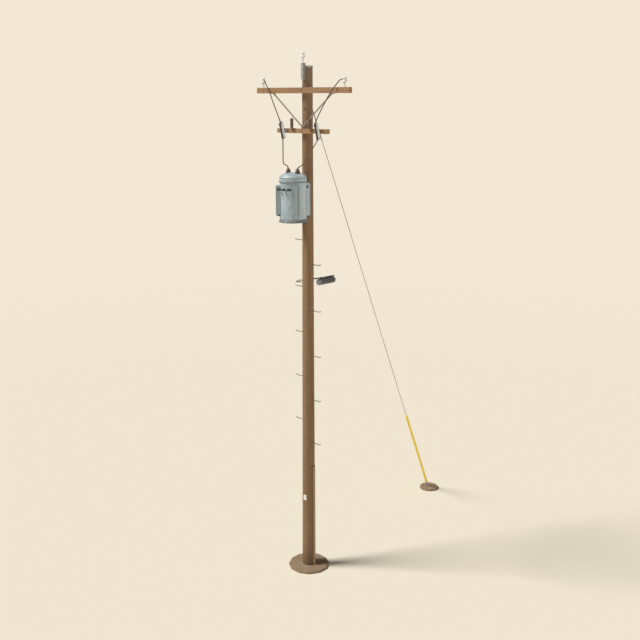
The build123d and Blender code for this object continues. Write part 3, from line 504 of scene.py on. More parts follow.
def glazed(name, body, deep, rough=(0.1, 0.22), grime=(0.30, 0.26, 0.20), amount=0.35, speck=0.25, coat=0.6, glow=0.0):
    m = Mat(name, Coat_Weight=coat, Coat_Roughness=0.08, IOR=1.52, Subsurface_Weight=glow, Subsurface_Radius=(0.03, 0.028, 0.024), Subsurface_Scale=1.0)
    pool = m.noise(m.co(), 24.0, 3.0, 0.5)
    dust = m.noise(m.map((1, 1, 0.35), (2.0, 7.0, 1.0)), 33.0, 5.0, 0.65)
    dots = m.voronoi(m.co(), 330.0)
    col = m.mix(m.rng(pool, 0.3, 0.7), body, deep)
    col = m.mix(m.rng(dots, 0.16, 0.06, 0.0, speck), col, tuple(c * 0.45 for c in deep))
    col = m.mix(m.rng(dust, 0.5, 0.8, 0.0, amount), col, grime)
    r = m.rng(dust, 0.45, 0.8, rough[0], rough[1] + 0.35)
    h = m.math("ADD", m.math("MULTIPLY", pool, 0.6), m.math("MULTIPLY", m.noise(m.co(), 90.0, 2.0), 0.3))
    return m.done(col, r, m.bump(h, 0.16, 0.001))


def enamel(name, face, chalk, dirt, dirt_amount=0.5, rough=(0.3, 0.5), painted_side_light=0.0):
    """Weathered tank paint: optional painted light and shade by azimuth round the tank, chalked patches, drip streaks,
    chips, orange peel.
    """
    m = Mat(name, Coat_Weight=0.2, Coat_Roughness=0.28)
    x, y, z = m.sep()
    cloud = m.noise(m.co(), 3.4, 4.0, 0.55)
    chalky = m.noise(m.map((1, 1, 0.4)), 9.0, 5.0, 0.62)
    drip = m.noise(m.map((1, 1, 0.03), (1.0, 2.0, 0.5)), 30.0, 4.0, 0.62)
    peel = m.noise(m.co(), 260.0, 2.0, 0.5)
    col = m.mix(m.rng(chalky, 0.36, 0.68), face, chalk)
    col = m.mix(1.0, col, m.ramp(cloud, [(0.25, 0.93), (0.75, 1.06)]), "MULTIPLY")
    # painted light and shade: the paint lightened or dimmed by azimuth round the tank
    if painted_side_light:
        ang = m.math("ARCTAN2", m.math("ADD", y, 0.44), x)
        turn = m.math("ADD", m.math("DIVIDE", ang, 2 * pi), 0.5)
        wob = m.math("MULTIPLY", m.math("SUBTRACT", m.noise(m.map((1, 1, 0.25)), 6.0, 3.0), 0.5), 0.007)
        turn = m.math("ADD", turn, wob)
        side_light = m.ramp(turn, [((d + 180) / 360, v) for d, v in TANK_PAINTED_LIGHT])
        col = m.mix(painted_side_light, col, side_light, "MULTIPLY")
        # painted shade beside the front radiator, on the tank wall only
        line = m.ramp(turn, [((d + 180) / 360, v) for d, v in TANK_LINE])
        col = m.mix(m.math("MULTIPLY", m.rng(z, 7.98, 7.945), m.rng(z, 7.335, 7.375)), col, m.mix(1.0, col, line, "MULTIPLY"))
    wet = m.math("MULTIPLY", m.rng(drip, 0.55, 0.75), dirt_amount)
    wet = m.math("MULTIPLY", wet, m.rng(z, 7.35, 8.0, 0.5, 1.0))
    col = m.mix(wet, col, dirt)
    # grime that gathers low on the tank
    low = m.math("MULTIPLY", m.rng(z, 7.42, 7.3), m.rng(chalky, 0.3, 0.7, 0.1, 0.4))
    col = m.mix(low, col, dirt)
    # painted shade where seam_shade is set: the lid's pressed step and the radiators' edges, tucks and backs
    col = m.mix(m.math("MULTIPLY", m.attr("seam_shade"), 0.72), col, tuple(c * 0.5 for c in dirt))
    chip = m.noise(m.co(), 52.0, 6.0, 0.72)
    chips = m.math("MULTIPLY", m.rng(chip, 0.785, 0.805), 0.65)
    col = m.mix(chips, col, (0.17, 0.12, 0.085))
    r = m.rng(chalky, 0.3, 0.7, rough[0], rough[1])
    r = m.mix(chips, r, (0.9, 0.9, 0.9))
    h = m.math("ADD", m.math("MULTIPLY", peel, 0.35), m.math("MULTIPLY", cloud, 0.3))
    h = m.math("SUBTRACT", h, m.math("MULTIPLY", chips, 0.5))
    return m.done(col, r, m.bump(h, 0.2, 0.0012))


def plastic(name, a, b, dust, rough=(0.4, 0.6), fine=160.0, amount=0.35, coat=0.0, axis=None):
    m = Mat(name, Coat_Weight=coat, Coat_Roughness=0.15)
    vec = m.map(axis[0], (0, 0, 0), axis[1]) if axis else m.co()
    cloud = m.noise(vec, 8.0, 4.0, 0.6)
    scuff = m.noise(vec, 60.0, 5.0, 0.66)
    grain = m.noise(m.co(), fine * 3, 2.0)
    col = m.mix(m.rng(cloud, 0.32, 0.68), a, b)
    col = m.mix(m.rng(scuff, 0.52, 0.78, 0.0, amount), col, dust)
    r = m.rng(scuff, 0.4, 0.75, rough[0], rough[1])
    h = m.math("ADD", m.math("MULTIPLY", grain, 0.4), m.math("MULTIPLY", scuff, 0.6))
    return m.done(col, r, m.bump(h, 0.18, 0.0008))


def gravel(name):
    """Trodden earth with gravel pressed into it."""
    m = Mat(name, Specular_IOR_Level=0.2)
    stone = m.attr("stone")
    gap = m.attr("gap")
    fine = m.noise(m.co(), 150.0, 5.0, 0.7)
    grit = m.voronoi(m.co(), 210.0)
    soil = m.noise(m.co(), 7.0, 4.0, 0.6)
    col = m.ramp(stone, [(0.0, (0.275, 0.193, 0.115)), (0.4, (0.312, 0.224, 0.136)), (0.7, (0.288, 0.214, 0.14)), (1.0, (0.345, 0.265, 0.175))])
    col = m.mix(m.rng(fine, 0.38, 0.7, 0.0, 0.4), col, (0.228, 0.16, 0.095))
    col = m.mix(m.rng(soil, 0.45, 0.72, 0.0, 0.45), col, (0.30, 0.213, 0.125))
    col = m.mix(m.math("MULTIPLY", gap, 0.5), col, (0.14, 0.095, 0.052))
    h = m.math("ADD", fine, m.math("MULTIPLY", grit, 0.5))
    return m.done(col, m.rng(fine, 0.3, 0.7, 0.96, 0.84), m.bump(h, 0.5, 0.002))


GUY_TOP = Vector((0, 142, 9324))
GUY_LOW = Vector((0, 4812, 128))
GUY_DIR = (GUY_LOW - GUY_TOP).normalized()
GUY_TILT = math.atan2(GUY_LOW.y - GUY_TOP.y, GUY_TOP.z - GUY_LOW.z)

# painted light round the tank by azimuth: the side turned away from the key light is lightened, the lit side dimmed a
# little
TANK_PAINTED_LIGHT = [
    (-180, 0.97), (-120, 0.95), (-100, 1.0), (-80, 1.0), (-70, 0.98), (-30, 0.98), (-24, 1.1), (-18, 1.2), (10, 1.43), (36, 1.46),
    (40, 1.16), (62, 1.12), (120, 1.05), (180, 0.97),
]
# shade in the corners beside the front radiator
TANK_LINE = [(-180, 1.0), (-52.6, 1.0), (-51.0, 0.80), (-49.4, 0.80), (-47.6, 1.0), (-36, 1.0), (-33.8, 0.66), (-27.5, 0.66), (-23.5, 1.0), (180, 1.0)]

M_POLE = wood("pole_timber", "z", (0.322, 0.203, 0.116), (0.262, 0.158, 0.086), (0.194, 0.114, 0.059), (0.018, 0.012), 0.0042, 0.13, pole_wash, 1.7, True)
M_ARM = wood("arm_timber", "x", (0.455, 0.278, 0.152), (0.365, 0.212, 0.108), (0.25, 0.138, 0.067), (-0.105, 9.56), 0.0055, 0.12, arm_wash, 4.2)
M_ARM2 = wood("arm_timber_lower", "x", (0.465, 0.298, 0.163), (0.365, 0.222, 0.112), (0.25, 0.145, 0.07), (-0.17, 8.84), 0.005, 0.13, arm_wash, 8.9)
M_GUARD = wood("guard_timber", "z", (0.53, 0.36, 0.225), (0.43, 0.28, 0.17), (0.31, 0.192, 0.11), (0.30, 0.01), 0.006, 0.12, guard_edge_shade, 6.4)
M_GALV = galvanised("galvanised")
M_GALV_DARK = galvanised("galvanised_aged", (0.30, 0.29, 0.27), (0.20, 0.195, 0.18), 0.6, (0.5, 0.75), 1.0, 0.45)
M_GALV_PALE = galvanised("galvanised_pale", (0.66, 0.655, 0.60), (0.54, 0.54, 0.50), 0.15, (0.35, 0.55), 1.0, 0.45)
# the pole-top bracket gets painted shade towards +x
M_BRACKET = galvanised("galvanised_plate", (0.405, 0.40, 0.375), (0.36, 0.355, 0.335), 0.15, (0.5, 0.6), 0.5, 0.2, (0.008, 0.034, 0.5))
M_CAP = galvanised("galvanised_sheet", (0.335, 0.315, 0.30), (0.27, 0.255, 0.24), 0.3, (0.4, 0.6), 0.7, 0.5)
M_BRACE = galvanised("galvanised_strap", (0.285, 0.255, 0.212), (0.215, 0.19, 0.155), 0.45, (0.5, 0.7), 1.0, 0.35)
M_RUSTY = galvanised("galvanised_rusty", (0.275, 0.19, 0.12), (0.20, 0.135, 0.08), 0.8, (0.6, 0.85), 1.0, 0.3)
M_STEP = galvanised("galvanised_step", (0.27, 0.245, 0.20), (0.19, 0.17, 0.135), 0.6, (0.5, 0.7), 1.0, 0.35)
M_CAST = galvanised("cast_bronze", (0.050, 0.047, 0.043), (0.034, 0.032, 0.030), 0.2, (0.5, 0.7), 1.4, 0.25)
M_STRAND = galvanised("strand_steel", (0.30, 0.29, 0.25), (0.19, 0.18, 0.155), 0.3, (0.45, 0.65), 2.0, 0.5)
M_PALE = galvanised("cast_pale", (0.60, 0.59, 0.55), (0.50, 0.495, 0.46), 0.1, (0.5, 0.65), 1.2, 0.2)
M_DARKFIX = galvanised("clamp_dark", (0.115, 0.118, 0.112), (0.08, 0.082, 0.078), 0.2, (0.5, 0.7), 1.2, 0.3)
M_WIRE = plastic("wire_aluminium", (0.074, 0.050, 0.026), (0.094, 0.066, 0.038), (0.135, 0.10, 0.07), (0.7, 0.85), 200.0, 0.2)
M_TIE = galvanised("tie_aluminium", (0.60, 0.59, 0.55), (0.50, 0.49, 0.45), 0.1, (0.45, 0.6), 1.2, 0.35)
M_LEAD = plastic("wire_brown", (0.155, 0.092, 0.049), (0.175, 0.106, 0.059), (0.20, 0.135, 0.088), (0.78, 0.9), 200.0, 0.25)
M_WHITE = glazed("porcelain_white", (0.78, 0.77, 0.725), (0.72, 0.71, 0.67), (0.45, 0.55), (0.66, 0.62, 0.55), 0.25, 0.05, 0.0, 0.5)
M_GREY = glazed("porcelain_grey", (0.86, 0.865, 0.835), (0.81, 0.815, 0.79), (0.32, 0.42), (0.66, 0.63, 0.58), 0.15, 0.05, 0.12, 0.35)
M_BROWN = glazed("porcelain_brown", (0.185, 0.098, 0.066), (0.13, 0.068, 0.046), (0.3, 0.42), (0.22, 0.17, 0.13), 0.35, 0.2, 0.05)
M_POLYMER = glazed("polymer_brown", (0.140, 0.072, 0.046), (0.110, 0.056, 0.036), (0.55, 0.66), (0.17, 0.11, 0.075), 0.3, 0.15, 0.0)
M_TANK = enamel("tank_paint", (0.337, 0.408, 0.441), (0.392, 0.463, 0.498), (0.21, 0.25, 0.265), 0.2, (0.46, 0.6), 1.0)
M_RIM = enamel("tank_paint_rim", (0.185, 0.222, 0.232), (0.225, 0.265, 0.275), (0.12, 0.14, 0.14), 0.3, (0.5, 0.65))
M_PLATE = enamel("tank_paint_plate", (0.375, 0.425, 0.43), (0.42, 0.47, 0.47), (0.27, 0.30, 0.30), 0.25, (0.45, 0.6))
# painted shade: the rim paint darkened for the foot rim
M_FOOT_SHADED = enamel("tank_paint_foot_shaded", (0.125, 0.150, 0.157), (0.150, 0.178, 0.185), (0.09, 0.105, 0.105), 0.3, (0.6, 0.75))
M_CABLE = plastic("cable_black", (0.020, 0.019, 0.017), (0.032, 0.029, 0.026), (0.075, 0.068, 0.06), (0.6, 0.75), 140.0, 0.25)
M_EPOXY = plastic("black_epoxy", (0.014, 0.016, 0.018), (0.028, 0.03, 0.032), (0.09, 0.09, 0.085), (0.3, 0.5), 120.0, 0.3, 0.15)
M_TUBE = plastic("fuse_tube", (0.030, 0.027, 0.025), (0.045, 0.040, 0.037), (0.10, 0.088, 0.076), (0.5, 0.65), 120.0, 0.2, 0.05)
M_SHELL = plastic("closure_shell", (0.058, 0.066, 0.064), (0.082, 0.092, 0.088), (0.20, 0.20, 0.18), (0.5, 0.7), 140.0, 0.35)
M_ENDCAP = plastic("closure_end", (0.175, 0.19, 0.208), (0.215, 0.232, 0.25), (0.30, 0.295, 0.28), (0.45, 0.65), 140.0, 0.35)
M_YELLOW = plastic("guard_yellow", (0.95, 0.68, 0.035), (0.97, 0.73, 0.06), (0.72, 0.56, 0.16), (0.38, 0.58), 150.0, 0.3, 0.0, ((1, 1, 0.06), (GUY_TILT, 0, 0)))
M_STONE = gravel("collar_stone")
M_TAG = galvanised("tag_aluminium", (0.84, 0.83, 0.80), (0.72, 0.72, 0.70), 0.1, (0.4, 0.55), 1.5, 0.25)
M_CONTACT = galvanised("contact_metal", (0.60, 0.59, 0.55), (0.46, 0.45, 0.42), 0.1, (0.3, 0.45), 1.5, 0.7)

# ======================================================================
# the pole
# ======================================================================
POLE_H, R_BUTT, R_TOP = 10082.0, 133.4, 97.6
UP_LO, UP_HI = mm_box("upper_crossarm")
LW_LO, LW_HI = mm_box("lower_crossarm")


def pole_r(z):
    return R_BUTT + (R_TOP - R_BUTT) * min(z, POLE_H) / POLE_H


# season checks: angle in degrees, from and to height, half width and depth in mm
CHECKS = [
    (262, 560, 2350, 1.5, 11), (291, 2900, 4700, 1.2, 9), (318, 900, 1900, 1.1, 8),
    (322, 5300, 7150, 1.6, 12), (341, 3500, 5200, 1.3, 10), (283, 6600, 8800, 1.4, 10),
    (240, 3800, 6500, 1.2, 9), (12, 5900, 8200, 1.6, 12), (302, 7900, 9500, 1.2, 9),
    (60, 700, 3900, 1.6, 13), (97, 4400, 7600, 1.8, 14), (133, 1500, 4200, 1.4, 11),
    (168, 5600, 8900, 1.5, 12), (205, 400, 2500, 1.3, 10), (225, 7300, 9300, 1.2, 9),
]
# knots: angle, height, size
KNOTS = [
    (278.7, 8392, -22), (299.5, 8384, -15), (259.9, 8289, -17), (312, 6905, -18), (270, 5180, -19),
    (330, 5205, -15), (245, 5160, -16), (290, 3395, -19), (345, 3380, -15), (232, 1985, -18),
    (305, 2010, -16), (20, 6880, 22), (75, 6920, 24), (130, 5190, 22), (40, 3370, 24),
    (170, 3400, 20), (95, 2000, 22), (150, 8370, 20), (200, 6890, 22),
]


def pole_mesh():
    angles = {round(i * 360 / 84, 3) for i in range(84)}
    for a, *_ in CHECKS:
        for k in (-1.6, -1.05, -0.7, -0.35, 0.0, 0.35, 0.7, 1.05, 1.6):
            angles.add(round((a + k) % 360, 3))
    angles = sorted(angles)
    kept = [angles[0]]
    for a in angles[1:]:
        if a - kept[-1] > 0.2:
            kept.append(a)
    angles = kept
    zs = {0.0, 2.0, POLE_H - 6, POLE_H}
    zs |= {float(z) for z in range(12, int(POLE_H) - 10, 46)}
    for _, z, s in KNOTS:
        s = abs(s)
        zs |= {z + s * k for k in (-2.0, -1.3, -0.8, -0.4, 0, 0.4, 0.8, 1.3, 2.0)}
    gains = [(UP_LO[2] - 2, UP_HI[2] + 2, UP_HI[1]), (LW_LO[2] - 2, LW_HI[2] + 2, LW_HI[1])]
    for a, b, _ in gains:
        zs |= {a - 0.3, a + 0.3, b - 0.3, b + 0.3}
    zs = sorted(zs)
    zk = [zs[0]]
    for z in zs[1:]:
        if z - zk[-1] > 0.5:
            zk.append(z)
    zs = zk
    verts, check, knot = [], [], []
    for z in zs:
        flat = next((y for a, b, y in gains if a < z < b), None)
        for a in angles:
            t = radians(a)
            r = pole_r(z)
            if z > POLE_H - 5.9:
                r -= 5.5
            wav = noise.noise(Vector((cos(t) * 1.6, sin(t) * 1.6, z * 0.0011)))
            fib = noise.noise(Vector((cos(t) * 17, sin(t) * 17, z * 0.0016 + 31)))
            dr = -0.55 + 0.5 * wav - 0.4 * abs(fib)
            ck = 0.0
            for ca, z0, z1, hw, dep in CHECKS:
                if not z0 < z < z1:
                    continue
                u = (z - z0) / (z1 - z0)
                env = min(1.0, 5 * u, 5 * (1 - u)) * (0.55 + 0.45 * abs(noise.noise(Vector((ca, 0, z * 0.003)))) * 2)
                env = min(1.0, env)
                mid = ca + 0.55 * noise.noise(Vector((ca * 3.7, 5.0, z * 0.0016)))
                off = abs((a - mid + 180) % 360 - 180) * pi / 180 * r
                w = hw * (0.5 + env)
                g = max(0.0, 1 - off / (w + 0.9))
                if g > 0:
                    dr -= dep * env * smooth01(g)
                    ck = max(ck, env * smooth01(g * 1.5))
            kn = 0.0
            for ka, kz, ks in KNOTS:
                weak = 0.4 if ks < 0 else 1.0
                ks = abs(ks)
                if abs(z - kz) > 3 * ks:
                    continue
                dx = ((a - ka + 180) % 360 - 180) * pi / 180 * r
                d = math.hypot(dx, (z - kz) * 0.82) / ks
                if d < 2.4:
                    kn = max(kn, weak * math.exp(-d * d * 1.4))
                    dr += weak * (0.8 * math.exp(-((d - 0.9) ** 2) * 4) - 2.0 * math.exp(-d * d * 7))
            p = Vector((cos(t) * (r + dr), sin(t) * (r + dr), z))
            if flat is not None and p.y < flat:
                p.y = flat
                ck = 0.0
            verts.append(p)
            check.append(ck)
            knot.append(kn)
    n = len(angles)
    faces = []
    for i in range(len(zs) - 1):
        for j in range(n):
            k = (j + 1) % n
            faces.append((i * n + j, i * n + k, (i + 1) * n + k, (i + 1) * n + j))
    base = len(verts)
    verts += [Vector((0, 0, 0)), Vector((0, 0, POLE_H))]
    check += [0.0, 0.0]
    knot += [0.0, 0.0]
    last = (len(zs) - 1) * n
    for j in range(n):
        k = (j + 1) % n
        faces.append((base, k, j))
        faces.append((base + 1, last + j, last + k))
    g = Geo()
    g.add(verts, faces)
    return make("pole_round", g, M_POLE, replaces=("pole",), angle=40, attrs={"check": check, "knot": knot}, clean=False)


pole_mesh()


# ======================================================================
# crossarms
# ======================================================================
def beam(name, node, mat, cracks, seed, step=9.0):
    """Sawn arm: rounded arrises, end checks and surface splits along the grain."""
    lo, hi = mm_box(node)
    x0, x1 = lo[0], hi[0]
    ch = 4.0
    y0, y1, z0, z1 = lo[1], hi[1], lo[2], hi[2]
    W, H = y1 - y0, z1 - z0
    sides = [
        ((y0 + ch, z0), (1, 0), W - 2 * ch, (0, -1)),
        ((y1, z0 + ch), (0, 1), H - 2 * ch, (1, 0)),
        ((y1 - ch, z1), (-1, 0), W - 2 * ch, (0, 1)),
        ((y0, z1 - ch), (0, -1), H - 2 * ch, (-1, 0)),
    ]
    corners = [(y1 - ch, z0 + ch, -90), (y1 - ch, z1 - ch, 0), (y0 + ch, z1 - ch, 90), (y0 + ch, z0 + ch, 180)]
    per = []
    for i, (o, d, L, nrm) in enumerate(sides):
        ts = {k * L / 12 for k in range(13)}
        for side, s, *_ in cracks:
            if side == i:
                ts |= {s * L + k for k in (-2.6, -1.2, 0.0, 1.2, 2.6)}
        ts = sorted(ts)
        keep = []
        for t in ts:
            if not keep or t - keep[-1] > 0.8:
                keep.append(t)
        for t in keep:
            per.append((o[0] + d[0] * t, o[1] + d[1] * t, nrm[0], nrm[1], i, t / L))
        cy, cz, a0 = corners[i]
        for k in (22.5, 45, 67.5):
            a = radians(a0 + k)
            per.append((cy + ch * cos(a), cz + ch * sin(a), cos(a), sin(a), -1, 0))
    xs = [x0, x0 + 1.2, x0 + 3.0]
    x = x0 + 8
    while x < x1 - 8:
        xs.append(x)
        x += step
    xs += [x1 - 3.0, x1 - 1.2, x1]
    inset = {x0: 2.6, x1: 2.6, x0 + 1.2: 0.9, x1 - 1.2: 0.9}
    cy, cz = (y0 + y1) / 2, (z0 + z1) / 2
    verts, check = [], []
    for x in xs:
        for y, z, ny, nz, side, s in per:
            dn = 0.35 + 0.3 * noise.noise(Vector((x * 0.004 + seed, y * 0.09, z * 0.09)))
            dn += 0.35 * max(0, noise.noise(Vector((x * 0.0015 + seed, y * 0.02 + 7, z * 0.02))))
            ck = 0.0
            for cside, cs, xa, xb, dep in cracks:
                if cside != side:
                    continue
                u = (x - xa) / (xb - xa)
                if not -0.001 <= u <= 1.001:
                    continue
                open_end = xa <= x0 + 1 or xb >= x1 - 1
                env = min(1.0, 4 * u if xa > x0 + 1 else 1.0, 4 * (1 - u) if xb < x1 - 1 else 1.0)
                if open_end:
                    env *= (1 - u) ** 0.5 if xa <= x0 + 1 else u**0.5
                off = abs(s - cs) * (W if side in (0, 2) else H)
                g = max(0.0, 1 - off / 2.0)
                if g > 0:
                    dn += dep * env * g
                    ck = max(ck, env * smooth01(g * 1.4))
            dn += inset.get(x, 0.0)
            verts.append(Vector((x, y - ny * dn, z - nz * dn)))
            check.append(ck)
    n = len(per)
    faces = []
    for i in range(len(xs) - 1):
        for j in range(n):
            k = (j + 1) % n
            faces.append((i * n + j, i * n + k, (i + 1) * n + k, (i + 1) * n + j))
    for end, xe, row in ((0, x0, 0), (1, x1, (len(xs) - 1) * n)):
        prev = list(range(row, row + n))
        for f in (0.82, 0.6, 0.36, 0.14):
            ring = []
            for j in range(n):
                p = verts[row + j]
                q = Vector((xe, cy + (p.y - cy) * f, cz + (p.z - cz) * f))
                rough = 0.8 * abs(noise.noise(Vector((q.y * 0.12, q.z * 0.12, seed + end))))
                q.x += (rough if end == 0 else -rough)
                ring.append(len(verts))
                verts.append(q)
                check.append(0.0)
            for j in range(n):
                k = (j + 1) % n
                faces.append((prev[j], prev[k], ring[k], ring[j]))
            prev = ring
        c = len(verts)
        verts.append(Vector((xe, cy, cz)))
        check.append(0.4)
        for j in range(n):
            faces.append((prev[j], prev[(j + 1) % n], c))
    g = Geo()
    g.add(verts, faces)
    return make(name, g, mat, replaces=(node,), angle=35, attrs={"check": check})


X0, X1 = UP_LO[0], UP_HI[0]
beam("upper_arm", "upper_crossarm", M_ARM, [
    (3, 0.42, X0, X0 + 330, 7), (3, 0.66, X1 - 260, X1, 6), (3, 0.3, -420, 150, 4), (3, 0.72, 240, 690, 3.5),
    (2, 0.5, X0, X0 + 420, 7), (2, 0.35, -500, 420, 5), (2, 0.62, X1 - 520, X1, 6),
    (0, 0.45, X0, X0 + 250, 5), (0, 0.6, 100, 700, 4), (1, 0.5, -900, -200, 5), (1, 0.38, X1 - 600, X1, 6),
], 3.0)
X0, X1 = LW_LO[0], LW_HI[0]
beam("lower_arm", "lower_crossarm", M_ARM2, [
    (3, 0.5, X0, X0 + 210, 6), (3, 0.35, -100, 330, 4), (2, 0.5, X1 - 260, X1, 6), (2, 0.4, X0, X0 + 180, 5),
    (1, 0.55, -350, 260, 5), (0, 0.4, -300, 200, 4),
], 9.0)

# ======================================================================
# insulators
# ======================================================================
PIN_INSULATOR = [
    (11, 5), (16, 2.6), (22, 0.6), (27, 0), (29.6, 1.4), (30, 5), (28.4, 10.5), (26, 16), (25, 20.5), (25.2, 23.6),
    (28, 26.6), (34, 28.6), (39.5, 28.8), (43.4, 27.8), (45.2, 28.8), (46, 31.6), (45.4, 35.5), (43, 41.5), (39.4, 48),
    (35, 54), (31.6, 58.6), (29.6, 62), (27.2, 65.2), (26, 68.4), (25.9, 72), (26.2, 75), (28.2, 78.4), (31.6, 81), (34.2, 84.6),
    (35.9, 90), (35.6, 96), (33.4, 102), (28.6, 107.4), (21, 111), (11.5, 113.2), (4, 113.9), (0, 114),
]


def pin_insulator(name, node):
    lo, hi = mm_box(node)
    cx, cy, bz = (lo[0] + hi[0]) / 2, (lo[1] + hi[1]) / 2, lo[2]
    prof = [(p.x, p.y) for p in catmull([Vector((r, h, 0)) for r, h in PIN_INSULATOR], 2.2)]
    prof = [(max(0.0, min(46.0, r)), min(114.0, max(0.0, h))) for r, h in prof]

    def saddle(p, a, r, h):
        # wire seat across the crown, along the line
        if h > 92:
            p = p.copy()
            p.z -= 5.5 * smooth01((h - 92) / 14) * math.exp(-(((p.x - cx) / 8.5) ** 2))
        return p

    g = Geo()
    g.lathe(prof, (cx, cy, bz), (0, 0, 1), 72, warp=saddle)
    make(name, g, M_WHITE, replaces=(node,), angle=60)


pin_insulator("pin_insulator_top", "top_insulator")
pin_insulator("pin_insulator_left", "insulator_left")
pin_insulator("pin_insulator_right", "insulator_right")

# steel pins: shank, flange washer, nut under the arm
g = Geo()
lo, hi = mm_box("insulator_pins")
ARM_Y = (UP_LO[1] + UP_HI[1]) / 2
for sx in (-1, 1):
    px = sx * (hi[0] - 23)
    top = UP_HI[2]
    g.lathe(rounded([
        (0, top + 0.2), (23, top + 0.2), (23, top + 5), (19, top + 9), (13.5, top + 11), (13, top + 60), (12, top + 66),
        (12, top + 71), (0, top + 71),
    ], 1.5), (px, ARM_Y, 0), (0, 0, 1), 32)
    g.bolt((px, ARM_Y, UP_LO[2] + 3.2), (0, 0, -1), 24, 7, washer=(17, 2.4))
make("insulator_pin_pair", g, M_GALV_PALE, replaces=("insulator_pins",))

g = Geo()
lo, hi = mm_box("top_pin")
cy = (lo[1] + hi[1]) / 2
g.lathe(rounded([
    (0, lo[2]), (13, lo[2]), (13, lo[2] + 14.1), (22, lo[2] + 14.1), (22, lo[2] + 21), (16, lo[2] + 24), (13, lo[2] + 27),
    (13, hi[2] - 9), (11.5, hi[2] + 4), (0, hi[2] + 4),
], 1.2), (0, cy, 0), (0, 0, 1), 32)
make("top_pin_turned", g, M_GALV_PALE, replaces=("top_pin",))

# ======================================================================
# cutouts
# ======================================================================
LEAN = radians(15.4)
CUT = {"left": Vector((-411, -216, 8940)), "right": Vector((411, -216, 8940))}
CUT_UP = Vector((0, -sin(LEAN), cos(LEAN)))
CUT_OUT = Vector((0, -cos(LEAN), -sin(LEAN)))
SHED = [(0, -132), (20.6, -132), (21.6, -130), (22.2, -122)]
for h in range(22):
    z = -117 + 10.8 * h
    SHED += [(23.4, z), (24.4, z + 2.2), (24.9, z + 4.4), (24.6, z + 6.2), (23.6, z + 8.6)]
SHED += [(22.2, 122), (21.6, 130), (20.6, 132), (0, 132)]
for side, o in CUT.items():
    g = Geo().lathe(rounded(SHED, 0.9, 2), o, CUT_UP, 56)
    make("cutout_body_" + side, g, M_GREY, replaces=("cutout_insulator_" + side,), angle=50)

    body = "fuse_" + side
    axis = o + CUT_OUT * 58
    # tube: banded fibre, thicker wrap at the top
    g = Geo()
    prof = [(0, -126), (17.0, -126)]
    h = -124
    while h < 96:
        prof += [(17.4, h), (17.4, h + 9.2), (17.0, h + 10), (17.4, h + 10.8)]
        h += 11
    prof += [(17.6, 98), (0, 98)]
    g.lathe(prof, axis, CUT_UP, 32)
    make("fuse_barrel_" + side, g, M_TUBE, body=body, replaces=("fuse_tube_" + side,), angle=40)
    # metal ends, hinge barrel and pull ring
    g = Geo()
    g.lathe(rounded([(0, 92), (18.8, 92), (18.8, 101), (20, 102.5), (20, 126), (17.5, 128.5), (12, 130), (11.5, 134), (10.4, 135.6), (0, 135.8)], 1.0), axis, CUT_UP, 32)
    for h in (106, 114, 122):
        g.torus(axis + CUT_UP * h, CUT_UP, 20.0, 0.9, 32, 6)
    g.lathe(rounded([(0, -128), (15.6, -128), (18.2, -126), (18.2, -104), (17.5, -101), (0, -101)], 1.0), axis, CUT_UP, 32)
    hinge = o + CUT_OUT * 58 + CUT_UP * -148
    g.lathe(rounded([(4.1, -15), (10, -15), (10, 15), (4.1, 15)], 1.0) + [(4.1, 15)], hinge, (1, 0, 0), 28, closed=True)
    frame_ = Matrix((Vector((1, 0, 0)), CUT_OUT, Vector((1, 0, 0)).cross(CUT_OUT))).transposed()
    g.box(hinge + CUT_UP * 11, (24, 16, 20), 1.5, frame_)
    g.torus(axis + CUT_OUT * 31.5 + CUT_UP * 113, (1, 0, 0), 11.5, 2.4, 32, 10)
    g.box(axis + CUT_OUT * 20.8 + CUT_UP * 113, (8, 6, 10), 1.2, frame_)
    make("fuse_metal_" + side, g, M_CAST, body=body, angle=40)

